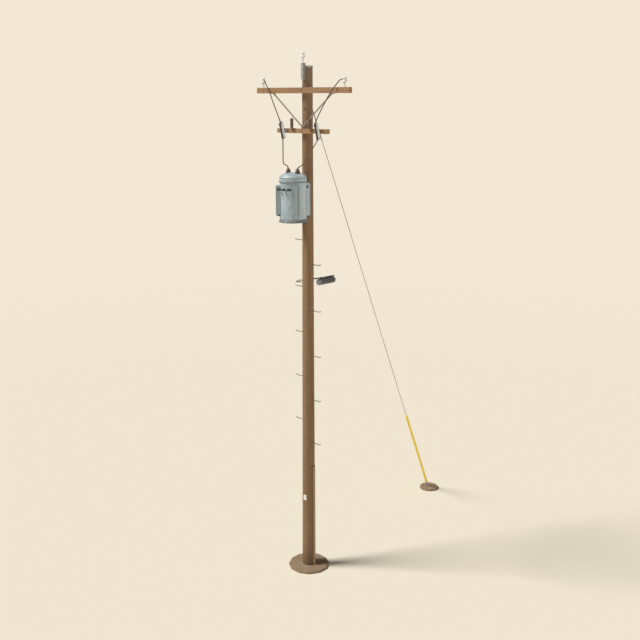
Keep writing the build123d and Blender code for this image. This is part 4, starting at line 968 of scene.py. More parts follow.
# castings that carry the tubes: cap and hood above, two cheeks and the pin below
g, gp = Geo(), Geo()
for side, o in CUT.items():
    rot = Matrix((Vector((1, 0, 0)), CUT_OUT, Vector((1, 0, 0)).cross(CUT_OUT))).transposed()
    gp.lathe(rounded([(0, 132), (18.8, 132), (20, 134), (20, 143), (17, 146), (0, 146)], 1.4), o, CUT_UP, 40)
    gp.lathe(rounded([(0, -154), (16, -154), (20, -150), (20, -134), (18.8, -132), (0, -132)], 1.4), o, CUT_UP, 40)
    turn = -1 if Vector((1, 0, 0)).cross(CUT_OUT).dot(CUT_UP) < 0 else 1
    gp.plate([(-11, -14), (11, -14), (13, -10), (13, 30), (-13, 30), (-13, -10)], o + CUT_UP * 146, (1, 0, 0), CUT_OUT, turn * 6, 1.4)
    g.plate([(-12, 28), (12, 28), (13, 62), (9, 72), (-9, 72), (-13, 62)], o + CUT_UP * 145.4, (1, 0, 0), CUT_OUT, turn * 8, 1.6)
    for sx in (-1, 1):
        g.box(o + Vector((sx * 13.4, 0, 0)) + CUT_OUT * 52 + CUT_UP * 141, (2.6, 26, 16), 0.9, rot)
    gp.lathe(rounded([(0, 151), (12, 151), (12, 156), (9, 158), (0, 158)], 1.2), o + CUT_OUT * 4, CUT_UP, 6)
    for ear in (-1, 1):
        cheek = [(-12, -152), (-12, -138), (-8, -136), (40, -136), (62, -138), (70, -144), (70, -154), (62, -160), (30, -160), (-8, -158)]
        gp.plate(cheek, o + Vector((ear * 19.5 - 2.5, 0, 0)), CUT_OUT, CUT_UP, 5 if CUT_OUT.cross(CUT_UP).x > 0 else -5, 0.9)
    gp.box(o + CUT_UP * -147, (40, 24, 13), 2.0, rot)
    hinge = o + CUT_OUT * 58 + CUT_UP * -148
    g.lathe(rounded([(0, -26), (4, -26), (4, 26), (0, 26)], 0.6), hinge, (1, 0, 0), 20)
    for sx in (-1, 1):
        g.lathe(rounded([(0, 0), (6.5, 0), (6.5, 3), (4, 5), (0, 5)], 0.8), hinge + Vector((sx * 22.2, 0, 0)), (sx, 0, 0), 18)
    g.box((o.x - 24, -180, 8791.1), (46, 22, 14), 2.0)
    g.bolt((o.x - 36, -191, 8791), (0, -1, 0), 12, 5, washer=(8, 1.5))
    # upper terminal: stem and ball that takes the lead
    g.lathe(rounded([(0, 152), (8, 152), (8, 160), (0, 160)], 0.8), o + CUT_OUT * 38, CUT_UP, 20)
    ball = [(10 * cos(radians(t)), 168 + 10 * sin(radians(t))) for t in range(-90, 91, 12)]
    g.lathe([(max(0.0, r), h) for r, h in ball], o + CUT_OUT * 38, CUT_UP, 24)
    # contact spring under the hood
    g.box(o + CUT_OUT * 46 + CUT_UP * 143.2, (16, 30, 2.0), 0.7, rot)
make("cutout_hardware", g, M_CAST, replaces=("cutout_castings",), angle=35)
make("cutout_caps", gp, M_PALE, angle=40)

# ======================================================================
# arresters
# ======================================================================
ARREST = [
    (0, 0), (26, 0), (27, 1.5), (27, 10), (26.4, 13), (26, 16), (26, 37), (27.4, 41), (31.6, 44.4), (33.8, 46.6), (34.2, 49), (33, 51.6),
    (29, 55.6), (27.2, 60), (27, 66), (27.6, 72), (32, 76), (34.6, 78.4), (35.2, 80.8), (33.8, 83.6), (29.4, 87.6), (27.2, 92),
    (26.4, 99), (27, 104), (31, 107.6), (32.8, 110), (33.2, 112.6), (31.8, 115.4), (28, 119.4), (26.4, 123), (26.3, 130),
    (28.2, 135.5), (30.8, 140), (32, 147), (32, 155), (31, 163), (28, 170), (23, 176), (17, 180), (9.5, 182.6), (0, 183),
]
for side in ("left", "right"):
    lo, hi = mm_box("arrester_" + side)
    cx, cy, bz = (lo[0] + hi[0]) / 2, (lo[1] + hi[1]) / 2, lo[2]
    prof = [(p.x, p.y) for p in catmull([Vector((r, h, 0)) for r, h in ARREST], 2.4)]
    prof = [(max(0.0, r), min(183.2, max(0.0, h))) for r, h in prof]
    g = Geo().lathe(prof, (cx, cy, bz), (0, 0, 1), 56)
    make("arrester_housing_" + side, g, M_POLYMER, replaces=("arrester_" + side,), angle=55)
    g = Geo()
    g.lathe(rounded([(0, 182), (8, 182), (8, 185), (5, 185.5), (5, 191.4), (4, 192), (0, 192)], 0.6, 2), (cx, cy, bz), (0, 0, 1), 20)
    g.lathe([(5, 184), (7.6, 184), (7.6, 188), (5, 188)], (cx, cy, bz), (0, 0, 1), 6, closed=True)
    g.bolt((cx, cy, bz - 6.1), (0, 0, -1), 18, 8, washer=(13, 2))
    for dx in (-15, 15):
        g.bolt((cx + dx, LW_LO[1] - 6.1, LW_HI[2] - 30), (0, -1, 0), 13, 6, washer=(9, 1.6))
    make("arrester_fixings_" + side, g, M_RUSTY, angle=40)

# ======================================================================
# transformer
# ======================================================================
TLO, THI = mm_box("transformer_tank")
TC = Vector(((TLO[0] + THI[0]) / 2, (TLO[1] + THI[1]) / 2, 0))
TR = (THI[0] - TLO[0]) / 2
TZ0, TZ1 = TLO[2], THI[2]


def dent(p, a, r, h):
    d = 0.5 + 0.5 * noise.noise(Vector((cos(a) * 1.3 + 4, sin(a) * 1.3, h * 0.006)))
    k = noise.noise(Vector((cos(a) * 3.1, sin(a) * 3.1 + 9, h * 0.014)))
    dr = 0.9 * d + 0.7 * max(0.0, k)
    # vertical weld seam on the back
    s = abs((math.degrees(a) - 118 + 180) % 360 - 180)
    if s < 1.6:
        dr -= 1.8 * (1 - s / 1.6)
    flat = Vector((p.x - TC.x, p.y - TC.y, 0))
    if flat.length < 1:
        return p
    return p - flat.normalized() * max(0.0, dr)


g = Geo()
prof = [(0, TZ0), (TR - 12, TZ0), (TR - 12, TZ0 + 0.5), (TR, TZ0 + 0.6)]
h = TZ0 + 20
while h < TZ1 - 60:
    prof.append((TR, h))
    h += 18
prof += [(TR, TZ1 - 52), (TR, TZ1 - 47), (TR - 0.2, TZ1 - 45), (TR, TZ1 - 43), (TR, TZ1 - 30), (TR, TZ1), (0, TZ1)]
g.lathe(prof, TC, (0, 0, 1), 160, warp=lambda p, a, r, h: dent(p, a, r, h) if r > TR - 5 else p)
make("tank_shell", g, M_TANK, replaces=("transformer_tank",), angle=40)

# lid: crown and knuckle arcs as in the frame, with a pressed step at the knuckle
LLO, LHI = mm_box("transformer_lid")
LR, LT = (LHI[0] - LLO[0]) / 2, LHI[2]
CROWN = (190.0**2 + 30.0**2) / 60.0
knee = Vector((190.0, LT - 30.0))
kd = Vector((cos(radians(17.94)), -sin(radians(17.94))))
edge = Vector((LR, LT - 89.0))
kn = Vector((-kd.y, kd.x)) * -1.0
v = edge - knee
rho = v.length_squared / (2 * v.dot(kn))
kc = knee + kn * rho
a0 = math.atan2(knee.y - kc.y, knee.x - kc.x)
a1 = math.atan2(edge.y - kc.y, edge.x - kc.x)
lid = [(0.0, LT)]
for k in range(1, 24):
    r = 190.0 * k / 24
    lid.append((r, LT - CROWN + sqrt(CROWN**2 - r * r)))
lid.append((190.0, LT - 30.0))
for k in range(1, 13):
    a = a0 + (a1 - a0) * k / 12
    lid.append((kc.x + rho * cos(a), kc.y + rho * sin(a)))
lid += [(LR, LT - 90.5), (LR - 1.2, LT - 92), (LR - 5.5, LT - 92.6), (LR - 5.5, LT - 97.5), (LR - 1.0, LT - 98.4), (LR, LT - 100)]
low = TZ1 + 21
for z in (LT - 106, LT - 112, LT - 122, LT - 134):
    if z > low:
        lid.append((LR, z))
lid += [(LR, low), (LR - 6, low - 2), (0, low - 2)]
lid = lid[::-1]


def lid_warp(p, a, r, h):
    if 4 < r < LR - 2 and h > TZ1 + 22:
        p = p.copy()
        p.z -= 0.8 * (0.5 + 0.5 * noise.noise(Vector((p.x * 0.012, p.y * 0.012, 3.0))))
    return p


g = Geo().lathe(lid, TC, (0, 0, 1), 160, warp=lid_warp)
# painted shade in the pressed step at the knuckle
seam_shade = []
for p in g.v:
    rad = math.hypot(p.x - TC.x, p.y - TC.y)
    seam_shade.append(1.0 if LT - 99.5 < p.z < LT - 89.5 and rad < LR + 1 and rad > LR - 8 else 0.0)
make("tank_lid", g, M_TANK, replaces=("transformer_lid",), angle=40, attrs={"seam_shade": seam_shade})

# clamping band with its bolt lug
BLO, BHI = mm_box("transformer_lid_band")
BR = (BHI[0] - BLO[0]) / 2
g = Geo()
g.lathe(rounded([
    (BR - 9, BLO[2]), (BR - 4, BLO[2]), (BR - 0.6, BLO[2] + 6), (BR - 2.4, BLO[2] + 13), (BR - 0.6, BLO[2] + 20), (BR - 4, BHI[2]), (BR - 9, BHI[2]),
], 1.2) + [(BR - 9, BHI[2])], TC, (0, 0, 1), 160, closed=True)
for ang in (165.0, 95.0):
    a = radians(ang)
    u = Vector((cos(a), sin(a), 0))
    t = Vector((-sin(a), cos(a), 0))
    c = TC + u * (BR + 6) + Vector((0, 0, (BLO[2] + BHI[2]) / 2))
    rot = Matrix((t, u, Vector((0, 0, 1)))).transposed()
    for s in (-1, 1):
        g.box(c + t * (s * 13), (7, 20, 24), 1.5, rot)
    g.bolt(c + t * 17, t, 15, 8, washer=(10, 2), stud=8, stud_r=4.5)
    g.bolt(c - t * 17, -t, 15, 8, washer=(10, 2))
    g.tube([c - t * 17, c + t * 17], 4.5, 12)
make("tank_band", g, M_RIM, replaces=("transformer_lid_band",), angle=40)

# flared foot rim
RLO, RHI = mm_box("transformer_base_rim")
RR = (RHI[0] - RLO[0]) / 2
g = Geo().lathe(rounded([
    (TR - 14, RLO[2]), (RR, RLO[2]), (RR, RLO[2] + 19), (RR - 2.6, RLO[2] + 24), (TR - 0.4, RLO[2] + 24), (TR - 0.4, TZ0), (TR - 14, TZ0),
], 1.6) + [(TR - 14, TZ0)], TC, (0, 0, 1), 160, closed=True)
make("tank_foot_rim", g, M_FOOT_SHADED, replaces=("transformer_base_rim",), angle=40)
g = Geo().lathe(rounded([
    (TR - 0.4, RLO[2] + 24), (RR - 2.8, RLO[2] + 24), (RR - 8, RLO[2] + 31), (TR + 5, RHI[2] - 9), (TR + 3, RHI[2]), (TR - 0.4, RHI[2]),
], 2.0), TC, (0, 0, 1), 160)
make("tank_foot_flare", g, M_RIM, angle=40)

# radiators: pressed panels with two flutes, closed back to the tank, with painted shade along
# their edges and tucks, and a black block as painted shade in the gap by the tank
QLO, QHI = mm_box("transformer_radiators")
QZ0, QZ1 = QLO[2], QHI[2]
QR, QW = 322.0, 104.0
g, shade_blocks = Geo(), Geo()
seam_shade = []
for ang in (49, 139, 225, 319):
    a = radians(ang)
    u = Vector((cos(a), sin(a), 0))
    t = Vector((-sin(a), cos(a), 0))
    QZ1 = QHI[2] if ang == 49 else 7956.0
    half = QW / 2
    nz, nt, nd = 44, 30, 7

    def ends(z):
        return smooth01(max(0.0, min(1.0, (z - QZ0) / 30, (QZ1 - z) / 30)))

    def cut_half(z):
        d = min(z - QZ0, QZ1 - z)
        if d >= 14:
            return half
        return half - 14 + sqrt(max(0.0, 14**2 - (14 - d) ** 2))

    zz = [QZ0 + (QZ1 - QZ0) * (0.5 - 0.5 * cos(pi * i / nz)) * 0.25 + (QZ1 - QZ0) * (i / nz) * 0.75 for i in range(nz + 1)]
    # one closed loop per height: across the face, back along one side, across, out along the other
    # sm holds painted shade weights: along the face edges, in the side tucks and at the back
    verts, sm = [], []
    n_loop = None
    for z in zz:
        hw = cut_half(z)
        e = ends(z)
        loop = []
        for i in range(nt + 1):
            s_ = -1 + 2 * i / nt
            v = abs(s_)
            flute = -4.5 * math.exp(-(((v * half - 17) / 5.0) ** 2)) * e
            groove = -7.0 * math.exp(-(((v * half - 48.0) / 2.4) ** 2)) * (0.4 + 0.6 * e)
            lip = -3.0 * max(0.0, v - 0.95) / 0.05
            loop.append((QR + flute + groove + lip - 9.0 * (1 - e), s_ * hw, smooth01((v * half - 43.5) / 2.5)))
        for i in range(1, nd):
            f = i / nd
            r = QR - 3 + (246.5 - QR + 3) * f
            tuck = 2.2 * math.exp(-(((f - 0.22) / 0.08) ** 2))
            loop.append((r, hw - tuck, 0.35 if abs(f - 0.22) < 0.09 else 0.0))
        loop.append((246.5, hw, 0.3))
        loop.append((246.5, -hw, 0.3))
        for i in range(nd - 1, 0, -1):
            f = i / nd
            r = QR - 3 + (246.5 - QR + 3) * f
            tuck = 2.2 * math.exp(-(((f - 0.22) / 0.08) ** 2))
            loop.append((r, -hw + tuck, 0.35 if abs(f - 0.22) < 0.09 else 0.0))
        n_loop = len(loop)
        for r, q, m_ in loop:
            verts.append(TC + u * r + t * q + Vector((0, 0, z)))
            sm.append(m_)
    faces = []
    for i in range(nz):
        for j in range(n_loop):
            k = (j + 1) % n_loop
            faces.append((i * n_loop + j, i * n_loop + k, (i + 1) * n_loop + k, (i + 1) * n_loop + j))
    for row, z in ((0, zz[0]), (nz, zz[-1])):
        c = len(verts)
        verts.append(TC + u * 285 + Vector((0, 0, z)))
        sm.append(0.0)
        for j in range(n_loop):
            faces.append((c, row * n_loop + j, row * n_loop + (j + 1) % n_loop))
    g.add(verts, faces)
    seam_shade += sm
    rot = Matrix((t, u, Vector((0, 0, 1)))).transposed()
    # black blocks as painted shade: at the top for the back radiators, at the foot for the front ones
    if ang in (49, 139):
        shade_blocks.box(TC + u * 262 + Vector((0, 0, 7924)), (QW + 2.6, 25, 62), 3, rot)
    else:
        shade_blocks.box(TC + u * 263 + Vector((0, 0, QZ0 + 20)), (QW + 2.6, 24, 44), 3, rot)
make("tank_radiators", g, M_TANK, replaces=("transformer_radiators",), angle=40, attrs={"seam_shade": seam_shade})
make("radiator_shade_blocks", shade_blocks, M_EPOXY, angle=40)

# high-voltage bushings
HV = [
    (0, 0), (42, 0), (50, 3), (50.2, 10), (46, 13), (42, 15), (39, 17.6), (38.4, 19.6), (41, 21.4), (45.4, 23), (46, 25.6), (44.4, 28.4),
    (39, 32), (35.6, 35), (34.6, 37), (37.4, 39), (42.4, 41), (43, 43.6), (41.4, 46.4), (36, 50), (32.4, 53), (31.4, 55), (34, 57),
    (38.4, 59), (39, 61.6), (37.4, 64.4), (32, 68), (27, 71), (20.5, 72.4), (19, 74), (19, 80), (0, 80),
]
for side in ("left", "right"):
    lo, hi = mm_box("bushing_" + side)
    cx = (lo[0] + hi[0]) / 2
    base = LT - CROWN + sqrt(CROWN**2 - 109.0**2)
    prof = [(p.x, p.y) for p in catmull([Vector((r, h, 0)) for r, h in HV[3:-3]], 1.8)]
    g = Geo().lathe([(0, 10)] + [(max(0.0, r), h) for r, h in prof] + [(0, 83)], (cx, TC.y, base), (0, 0, 1), 56)
    make("bushing_sheds_" + side, g, M_BROWN, replaces=("bushing_" + side,), angle=55)
    g = Geo()
    sag = 110.0 * 50 / CROWN + 2
    g.lathe(rounded([(0, -sag), (51, -sag), (51, 9), (49, 12), (0, 12)], 1.5), (cx, TC.y, base), (0, 0, 1), 48)
    for k in range(4):
        a = radians(45 + 90 * k)
        p = Vector((cx + 44 * cos(a), TC.y + 44 * sin(a), base + 12))
        g.bolt(p, (0, 0, 1), 11, 5.5)
    make("bushing_flange_" + side, g, M_CAST, angle=40)
    g = Geo()
    g.lathe(rounded([(0, 71), (19.4, 71), (19.4, 80), (17, 82), (0, 82)], 1.0), (cx, TC.y, base), (0, 0, 1), 32)
    g.lathe([(5.2, 81)] + [(11 * cos(radians(t)), (hi[2] - 11 - base) + 11 * sin(radians(t))) for t in range(-50, 90, 14)] + [(0, hi[2] - base)], (cx, TC.y, base), (0, 0, 1), 24)
    g.lathe([(5, 85.5), (9.4, 85.5), (9.4, 91), (5, 91)], (cx, TC.y, base), (0, 0, 1), 6, closed=True)
    make("bushing_terminal_" + side, g, M_CAST, angle=40)

# low-voltage bushings: black moulded bodies, each with a ring at its root
g, gm = Geo(), Geo()
VLO, VHI = mm_box("low_voltage_bushings")
tip = VLO[1]
vz = (VLO[2] + VHI[2]) / 2
for x in (-114.0, 0.0, 114.0):
    root = TC.y - sqrt(TR**2 - x**2)
    L = root - tip
    g.lathe(rounded([
        (0, -10), (20, -10), (20, 7), (18, 10), (16.4, 13), (16, 16), (16, L - 31), (18, L - 29), (24, L - 26), (25, L - 23),
        (25, L - 8), (23.4, L - 3), (19, L), (0, L + 0.0),
    ], 1.6), (x, root, vz), (0, -1, 0), 40)
    gm.torus((x, root - 9, vz), (0, -1, 0), 18.5, 1.8, 28, 6)
make("lv_bushing_bodies", g, M_EPOXY, replaces=("low_voltage_bushings",), angle=40)
make("lv_bushing_nuts", gm, M_GALV_DARK, angle=40)

# tank fittings: lifting lug, ground pad, drain plug, blank plate, relief valve
g, gm = Geo(), Geo()
for ang in (180,):
    a = radians(ang)
    u = Vector((cos(a), sin(a), 0))
    t = Vector((-sin(a), cos(a), 0))
    o = TC + u * (TR - 2) + Vector((0, 0, TZ1 - 76))
    n = 16
    out = [(0, -26), (14, -22)] + [(20 + 15 * cos(radians(-60 + 150 * k / n)), 2 + 15 * sin(radians(-60 + 150 * k / n))) for k in range(n + 1)] + [(0, 30)]
    g.plate(out, o - t * 5, u, (0, 0, 1), -10, 1.2)
o = TC + Vector((TR * cos(radians(162)), TR * sin(radians(162)), TZ0 + 68))
u = Vector((cos(radians(162)), sin(radians(162)), 0))
t = Vector((-u.y, u.x, 0))
rot = Matrix((t, u, Vector((0, 0, 1)))).transposed()
g.box(o + u * 2, (34, 10, 34), 1.5, rot)
gm.bolt(o + u * 7, u, 14, 7, washer=(9.5, 2), stud=10, stud_r=4.5)
o = TC + Vector((TR * cos(radians(116)), TR * sin(radians(116)), TZ0 + 60))
u = Vector((cos(radians(116)), sin(radians(116)), 0))
g.lathe(rounded([(0, -4), (17, -4), (17, 7), (14, 9), (0, 9)], 1.2), o, u, 28)
gm.lathe([(0, 8), (9, 8), (9, 18), (7.5, 20), (0, 20)], o, u, 4)
# blank rating plate on the front
aa = radians(-63.5)
u = Vector((cos(aa), sin(aa), 0))
t = Vector((-u.y, u.x, 0))
o = TC + u * (TR + 0.2) + Vector((0, 0, 7606))
plate = Geo()
rot = Matrix((t, u, Vector((0, 0, 1)))).transposed()
plate.box(o + u * 1.0, (58, 3.0, 104), 0.8, rot)
for sx in (-1, 1):
    for sz in (-1, 1):
        plate.lathe(rounded([(0, 0), (3.2, 0), (2.6, 1.6), (0, 2.2)], 0.4), o + t * (sx * 24) + Vector((0, 0, sz * 46)) + u * 2.4, u, 12)
make("tank_plate", plate, M_PLATE, angle=40)
# relief valve high on the right
aa = radians(100)
u = Vector((cos(aa), sin(aa), 0))
o = TC + u * (TR - 2) + Vector((0, 0, TZ1 - 66))
gm.lathe(rounded([(0, 0), (13, 0), (13, 8), (9, 11), (9, 19), (11.5, 21), (11.5, 30), (8, 33), (0, 33)], 1.0), o, u, 24)
gm.torus(o + u * 39, (0, 0, 1), 8.5, 1.6, 24, 6)
make("tank_lugs", g, M_TANK, angle=40)
make("tank_fittings", gm, M_GALV, angle=40)

# hanger bolts on the tank's two arms and right through the pole
g = Geo()
for node_z in (7318.0, 7930.0):
    for sx in (-1, 1):
        g.bolt((sx * 58.2, -140, node_z), (sx, 0, 0), 17, 8, washer=(12, 2))
        g.bolt((sx * 68, -116.2, node_z + 0), (0, -1, 0), 17, 8, washer=(12, 2))
    r = pole_r(node_z)
    g.bolt((0, r + 0.2 - 1, node_z), (0, 1, 0), 25, 13, square=(60, 5), stud=26, stud_r=8)
make("hanger_bolts", g, M_RUSTY, angle=40)

# ======================================================================
# arm bolts, pole-top bolts, brace bolts, cap nails
# ======================================================================
g = Geo()
for (lo, hi), zc in (((UP_LO, UP_HI), 9651.0), ((LW_LO, LW_HI), 8923.0)):
    g.bolt((0, lo[1] + 0.5, zc), (0, -1, 0), 17, 7, washer=(12, 2), stud=5, stud_r=5)
    g.bolt((0, pole_r(zc) - 1.2, zc), (0, 1, 0), 26, 14, square=(62, 5), stud=30, stud_r=8)
for zb in (9905.0, 10035.0):
    g.bolt((0, pole_r(zb) - 1.2, zb), (0, 1, 0), 22, 12, square=(52, 5), stud=24, stud_r=7)
make("through_bolts", g, M_RUSTY, angle=40)

g = Geo()
for sx in (-1, 1):
    # lag bolts and washers of the brace pads under the upper arm
    g.bolt((sx * 668, -162, UP_LO[2] - 6), (0, 0, -1), 15, 8, washer=(11, 2))
g.bolt((-16, -157.0, LW_HI[2] + 64), (0, -1, 0), 12, 6)
make("brace_bolts", g, M_BRACE, angle=40)

# roofing nails and rolled edge of the pole cap
g = Geo()
CLO, CHI = mm_box("pole_cap")
cr = (CHI[0] - CLO[0]) / 2
for k in range(10):
    a = 2 * pi * k / 10 + 0.3
    p = Vector((cr * cos(a), cr * sin(a), CLO[2] + 14))
    if abs(p.x) < 42 and p.y < 0:
        continue
    g.lathe(rounded([(0, -0.5), (5, -0.5), (5, 1.2), (0, 1.8)], 0.4), p, (cos(a), sin(a), 0), 14)
g.torus((0, 0, CLO[2] + 1.6), (0, 0, 1), cr - 0.6, 1.5, 96, 8)
make("cap_nails", g, M_GALV, angle=40)

# ======================================================================
# wires
# ======================================================================
UPPER_ROUTE = [
    (920, -156.9, 9843.0), (878, -185, 9826), (806, -210, 9742), (694, -244, 9588), (598, -268, 9424), (516, -283, 9282),
    (444, -292, 9150), (416.1, -296.5, 9100.8),
]
LEFT_ROUTE = [
    (-447, -180, 8783.8), (-446, -182, 8600), (-445, -184, 8452), (-430, -203, 8384), (-382, -254, 8342), (-330, -304, 8322),
    (-226, -378, 8306), (-158, -412, 8299), (-115.9, -435.6, 8263.8),
]
RIGHT_ROUTE = [
    (375, -180, 8779.2), (370, -196, 8748), (350, -232, 8684), (318, -280, 8598), (284, -332, 8510), (254, -380, 8420),
    (226, -418, 8346), (188, -444, 8306), (148, -448, 8290), (117.4, -441.2, 8263.4),
]


def stranded(name, routes, r, mat, replaces, pitch, lobes=6, segs=24, step=7.0, extra=None):
    g = Geo()
    for route in routes:
        g.tube(catmull(route, step), r, segs, lobes, 0.16, pitch)
    if extra:
        extra(g)
    return make(name, g, mat, replaces=replaces, angle=70)


for side, sx in (("left", -1), ("right", 1)):
    ax = sx * 947.0

    def tie(g, ax=ax, sx=sx):
        # tie wire: two turns in the side groove, twisted to the lead
        for dz in (-2.6, 2.6):
            g.torus((ax, ARM_Y, 9772 + 71.5 + dz), (0, 0, 1), 28.8, 2.7, 48, 10)
        pts = []
        for k in range(46):
            t = k / 45
            base_ = Vector((sx * 917, -159, 9842)).lerp(Vector((sx * 878, -185, 9826)), t)
            pts.append(base_ + Vector((0, cos(t * 26), sin(t * 26))) * 10.4)
        g.tube(pts, 2.4, 8)

    route = [(sx * x, y, z) for x, y, z in UPPER_ROUTE]
    stranded("jumper_to_cutout_" + side, [route], 9.7, M_WIRE, ("jumper_upper_" + side,), 90.0)
    ties = Geo()
    tie(ties)
    make("tie_wire_" + side, ties, M_TIE, angle=70)
stranded("jumper_to_bushing_left", [LEFT_ROUTE], 10.4, M_WIRE, ("jumper_lower_left",), 90.0)
stranded("jumper_to_bushing_right", [RIGHT_ROUTE], 9.9, M_LEAD, ("jumper_lower_right",), 90.0)

# small clamps where the leads meet the terminals
g = Geo()
for p, d in (
    (Vector((-416.1, -296.5, 9100.8)), Vector((-28, 4.5, 49))), (Vector((416.1, -296.5, 9100.8)), Vector((28, 4.5, 49))),
    (Vector((-447, -180, 8783.8)), Vector((0.1, -1, -100))), (Vector((375, -180, 8780.6)), Vector((-7, -18, -38))),
    (Vector((-115.9, -435.6, 8263.8)), Vector((-42, 24, 36))), (Vector((117.4, -441.2, 8263.4)), Vector((30, -7, 27))),
):
    d = d.normalized()
    g.lathe(rounded([(0, 3), (10.6, 3), (11.2, 6), (11.2, 27), (9.6, 31), (0, 31)], 1.0), p, d, 20)
    side_ = d.orthogonal().normalized()
    g.bolt(p + d * 17 + side_ * 10.4, side_, 9, 5)
make("lead_clamps", g, M_CAST, angle=40)

# comm strand
SLOPE = radians(3.6)
SDIR = Vector((0, cos(SLOPE), -sin(SLOPE)))
SO = Vector((-206, 0, 6050))
UPS = Vector((0, sin(SLOPE), cos(SLOPE)))
n = 170
line = [-95 + (1122 + 95 + 10) * k / n for k in range(n + 1)]
g = Geo().tube([SO + SDIR * d + UPS * 8.4 for d in line], 3.9, 18, 6, 0.2, 80.0)
g.tube([SO + SDIR * d - UPS * 1.2 + Vector((sin(d / 46) * 10.4, 0, 0)) + UPS * (cos(d / 46) * 13.6) for d in [-40 + 4.0 * k for k in range(148)]], 1.1, 6)
make("comm_strand", g, M_CAST, replaces=("closure_strand",), angle=70)


def cable_drop(d):
    # lashed up under the strand, then lying on the closure's back
    if d < 540:
        return 4.8
    if d < 610:
        f = (d - 540) / 70
        return 4.8 + 9.2 * f * f * (3 - 2 * f)
    return 14.0 - 11.6 * (d - 610) / 515


g = Geo().tube([SO + SDIR * d - UPS * cable_drop(d) for d in line], 9.9, 24)
make("comm_cable_stub", g, M_CABLE, angle=60)

# guy wire with its preformed grips
L = (GUY_LOW - GUY_TOP).length
n = int(L / 9)
g = Geo().tube([GUY_TOP + GUY_DIR * (L * k / n) for k in range(n + 1)], 6.5, 18, 6, 0.2, 110.0)


def grip(s0, s1):
    m_ = int((s1 - s0) / 7)
    pts = [GUY_TOP + GUY_DIR * (s0 + (s1 - s0) * k / m_) for k in range(m_ + 1)]

    def taper(s):
        return 9.4 - 2.2 * (1 - smooth01(min(s, (s1 - s0) - s) / 60))

    g.tube(pts, taper, 24, 8, 0.28, 150.0)


grip(60, 700)
make("guy_strand", g, M_STRAND, replaces=("guy_wire",), angle=70)

# yellow guard: half-round shell with a lapped seam, end collars and two clips
S0 = L - 40 - 2290
S1 = L - 40
pts, rr = [], []
marks = [0, 3, 24, 30, 34] + [60 + 55 * k for k in range(40)] + [2290 - 34, 2290 - 30, 2290 - 24, 2290 - 3, 2290]


def guard_r(s):
    e = min(s, 2290 - s)
    if e < 3:
        return 28.4 + 1.6 * e / 3
    if e < 24:
        return 30.0
    if e < 34:
        return 30.0 - 2.4 * smooth01((e - 24) / 10)
    return 27.6


def guard_seam(a, s):
    d = abs((math.degrees(a) - 150 + 180) % 360 - 180)
    if d < 7:
        return 0.9
    return 1.0 + (0.035 if 7 <= d < 22 else 0.0) * (1 if (a - radians(150)) % (2 * pi) < pi else 0)


g = Geo()
g.tube([GUY_TOP + GUY_DIR * (S0 + s) for s in sorted(set(marks)) if 0 <= s <= 2290], guard_r, 72, rf=guard_seam, start=(1, 0, 0))
make("guy_guard_shell", g, M_YELLOW, replaces=("guy_guard",), angle=40)
g = Geo()
for s in (300.0, 2290.0 - 420):
    c = GUY_TOP + GUY_DIR * (S0 + s)
    g.lathe(rounded([(27.2, -7), (28.8, -6.4), (28.8, 6.4), (27.2, 7)], 0.5), c, GUY_DIR, 48)
make("guy_guard_bands", g, M_YELLOW, angle=40)

# thimble at the anchor eye
g = Geo()
g.torus(GUY_LOW, (1, 0, 0), 22.5, 4.0, 36, 10)
make("anchor_thimble", g, M_STRAND, angle=50)

# ======================================================================
# communications closure
# ======================================================================
KLO, KHI = mm_box("splice_closure")
TILT = 20.0 / 524.0
KDIR = Vector((0, 1, -TILT)).normalized()
UPN = Vector((0, TILT, 1)).normalized()
start = Vector((-206, 598, 5923))
cl = 524.0 * sqrt(1 + TILT**2)
rot = Matrix((Vector((1, 0, 0)), KDIR, UPN)).transposed()
prof = [(0, 34), (61.4, 34)]
s = 44.0
while s < cl - 66:
    prof += [(61.6, s), (61.6, s + 17), (63.2, s + 19.5), (63.2, s + 25), (61.6, s + 27.5)]
    s += 38
prof += [(61.6, cl - 30), (59, cl - 18), (53, cl - 8), (43, cl - 2), (30, cl - 0.3), (0, cl)]
g = Geo().lathe(rounded(prof, 2.2), start, KDIR, 80)
g.box(start + KDIR * (cl / 2 + 20) + Vector((-1, 0, 0)) * 61, (7, cl - 130, 13), 2.0, rot)
make("closure_body", g, M_SHELL, replaces=("splice_closure",), angle=40)
g = Geo().lathe(rounded([
    (0, 4), (12, 4), (14, 6), (40, 6), (43, 2.4), (54, 1), (61, 4), (64, 9), (64, 17), (62.8, 19.5), (62.8, 26), (64, 28.5), (64, 32), (62, 34), (0, 34),
], 1.6), start, KDIR, 80)
for k in range(3):
    a = radians(90 + 120 * k)
    c = start + Vector((1, 0, 0)) * (26 * cos(a)) + UPN * (26 * sin(a))
    g.lathe(rounded([(0, 7), (10, 7), (10, 3), (8, 1.2), (0, 1.2)], 1.0), c, KDIR, 28)
make("closure_end_cap", g, M_ENDCAP, angle=40)
g = Geo()
for d in (70.0, cl - 96):
    y = 598 + d + 13
    top_ = 6050 - y * math.tan(SLOPE)
    low_ = 5923 - (d + 13) * TILT + 56
    for off in (-11.4, 11.4):
        g.box((-206 + off, y, (top_ + low_) / 2 + 4), (3.2, 24, top_ - low_ + 14), 1.0)
    g.box((-206, y, top_ + 12.5), (26, 24, 4), 1.2)
    g.box((-206, y, (low_ + top_ - 12) / 2), (19, 18, max(6.0, top_ - 12 - low_)), 2.0)
    c = start + KDIR * (d + 13)
    g.lathe(rounded([(61.4, -10), (63.6, -9.2), (63.6, 9.2), (61.4, 10)], 0.5), c, KDIR, 80)
    g.bolt((-206 - 13.2, y, top_ - 15), (-1, 0, 0), 10, 4, washer=(7, 1.4))
for k in range(6):
    c = start + KDIR * (115 + 58 * k) + Vector((-64.3, 0, 0))
    g.lathe(rounded([(0, 0), (4.2, 0), (3.8, 2.6), (0, 3.2)], 0.6), c, (-1, 0, 0), 12)
make("closure_fixings", g, M_DARKFIX, angle=40)

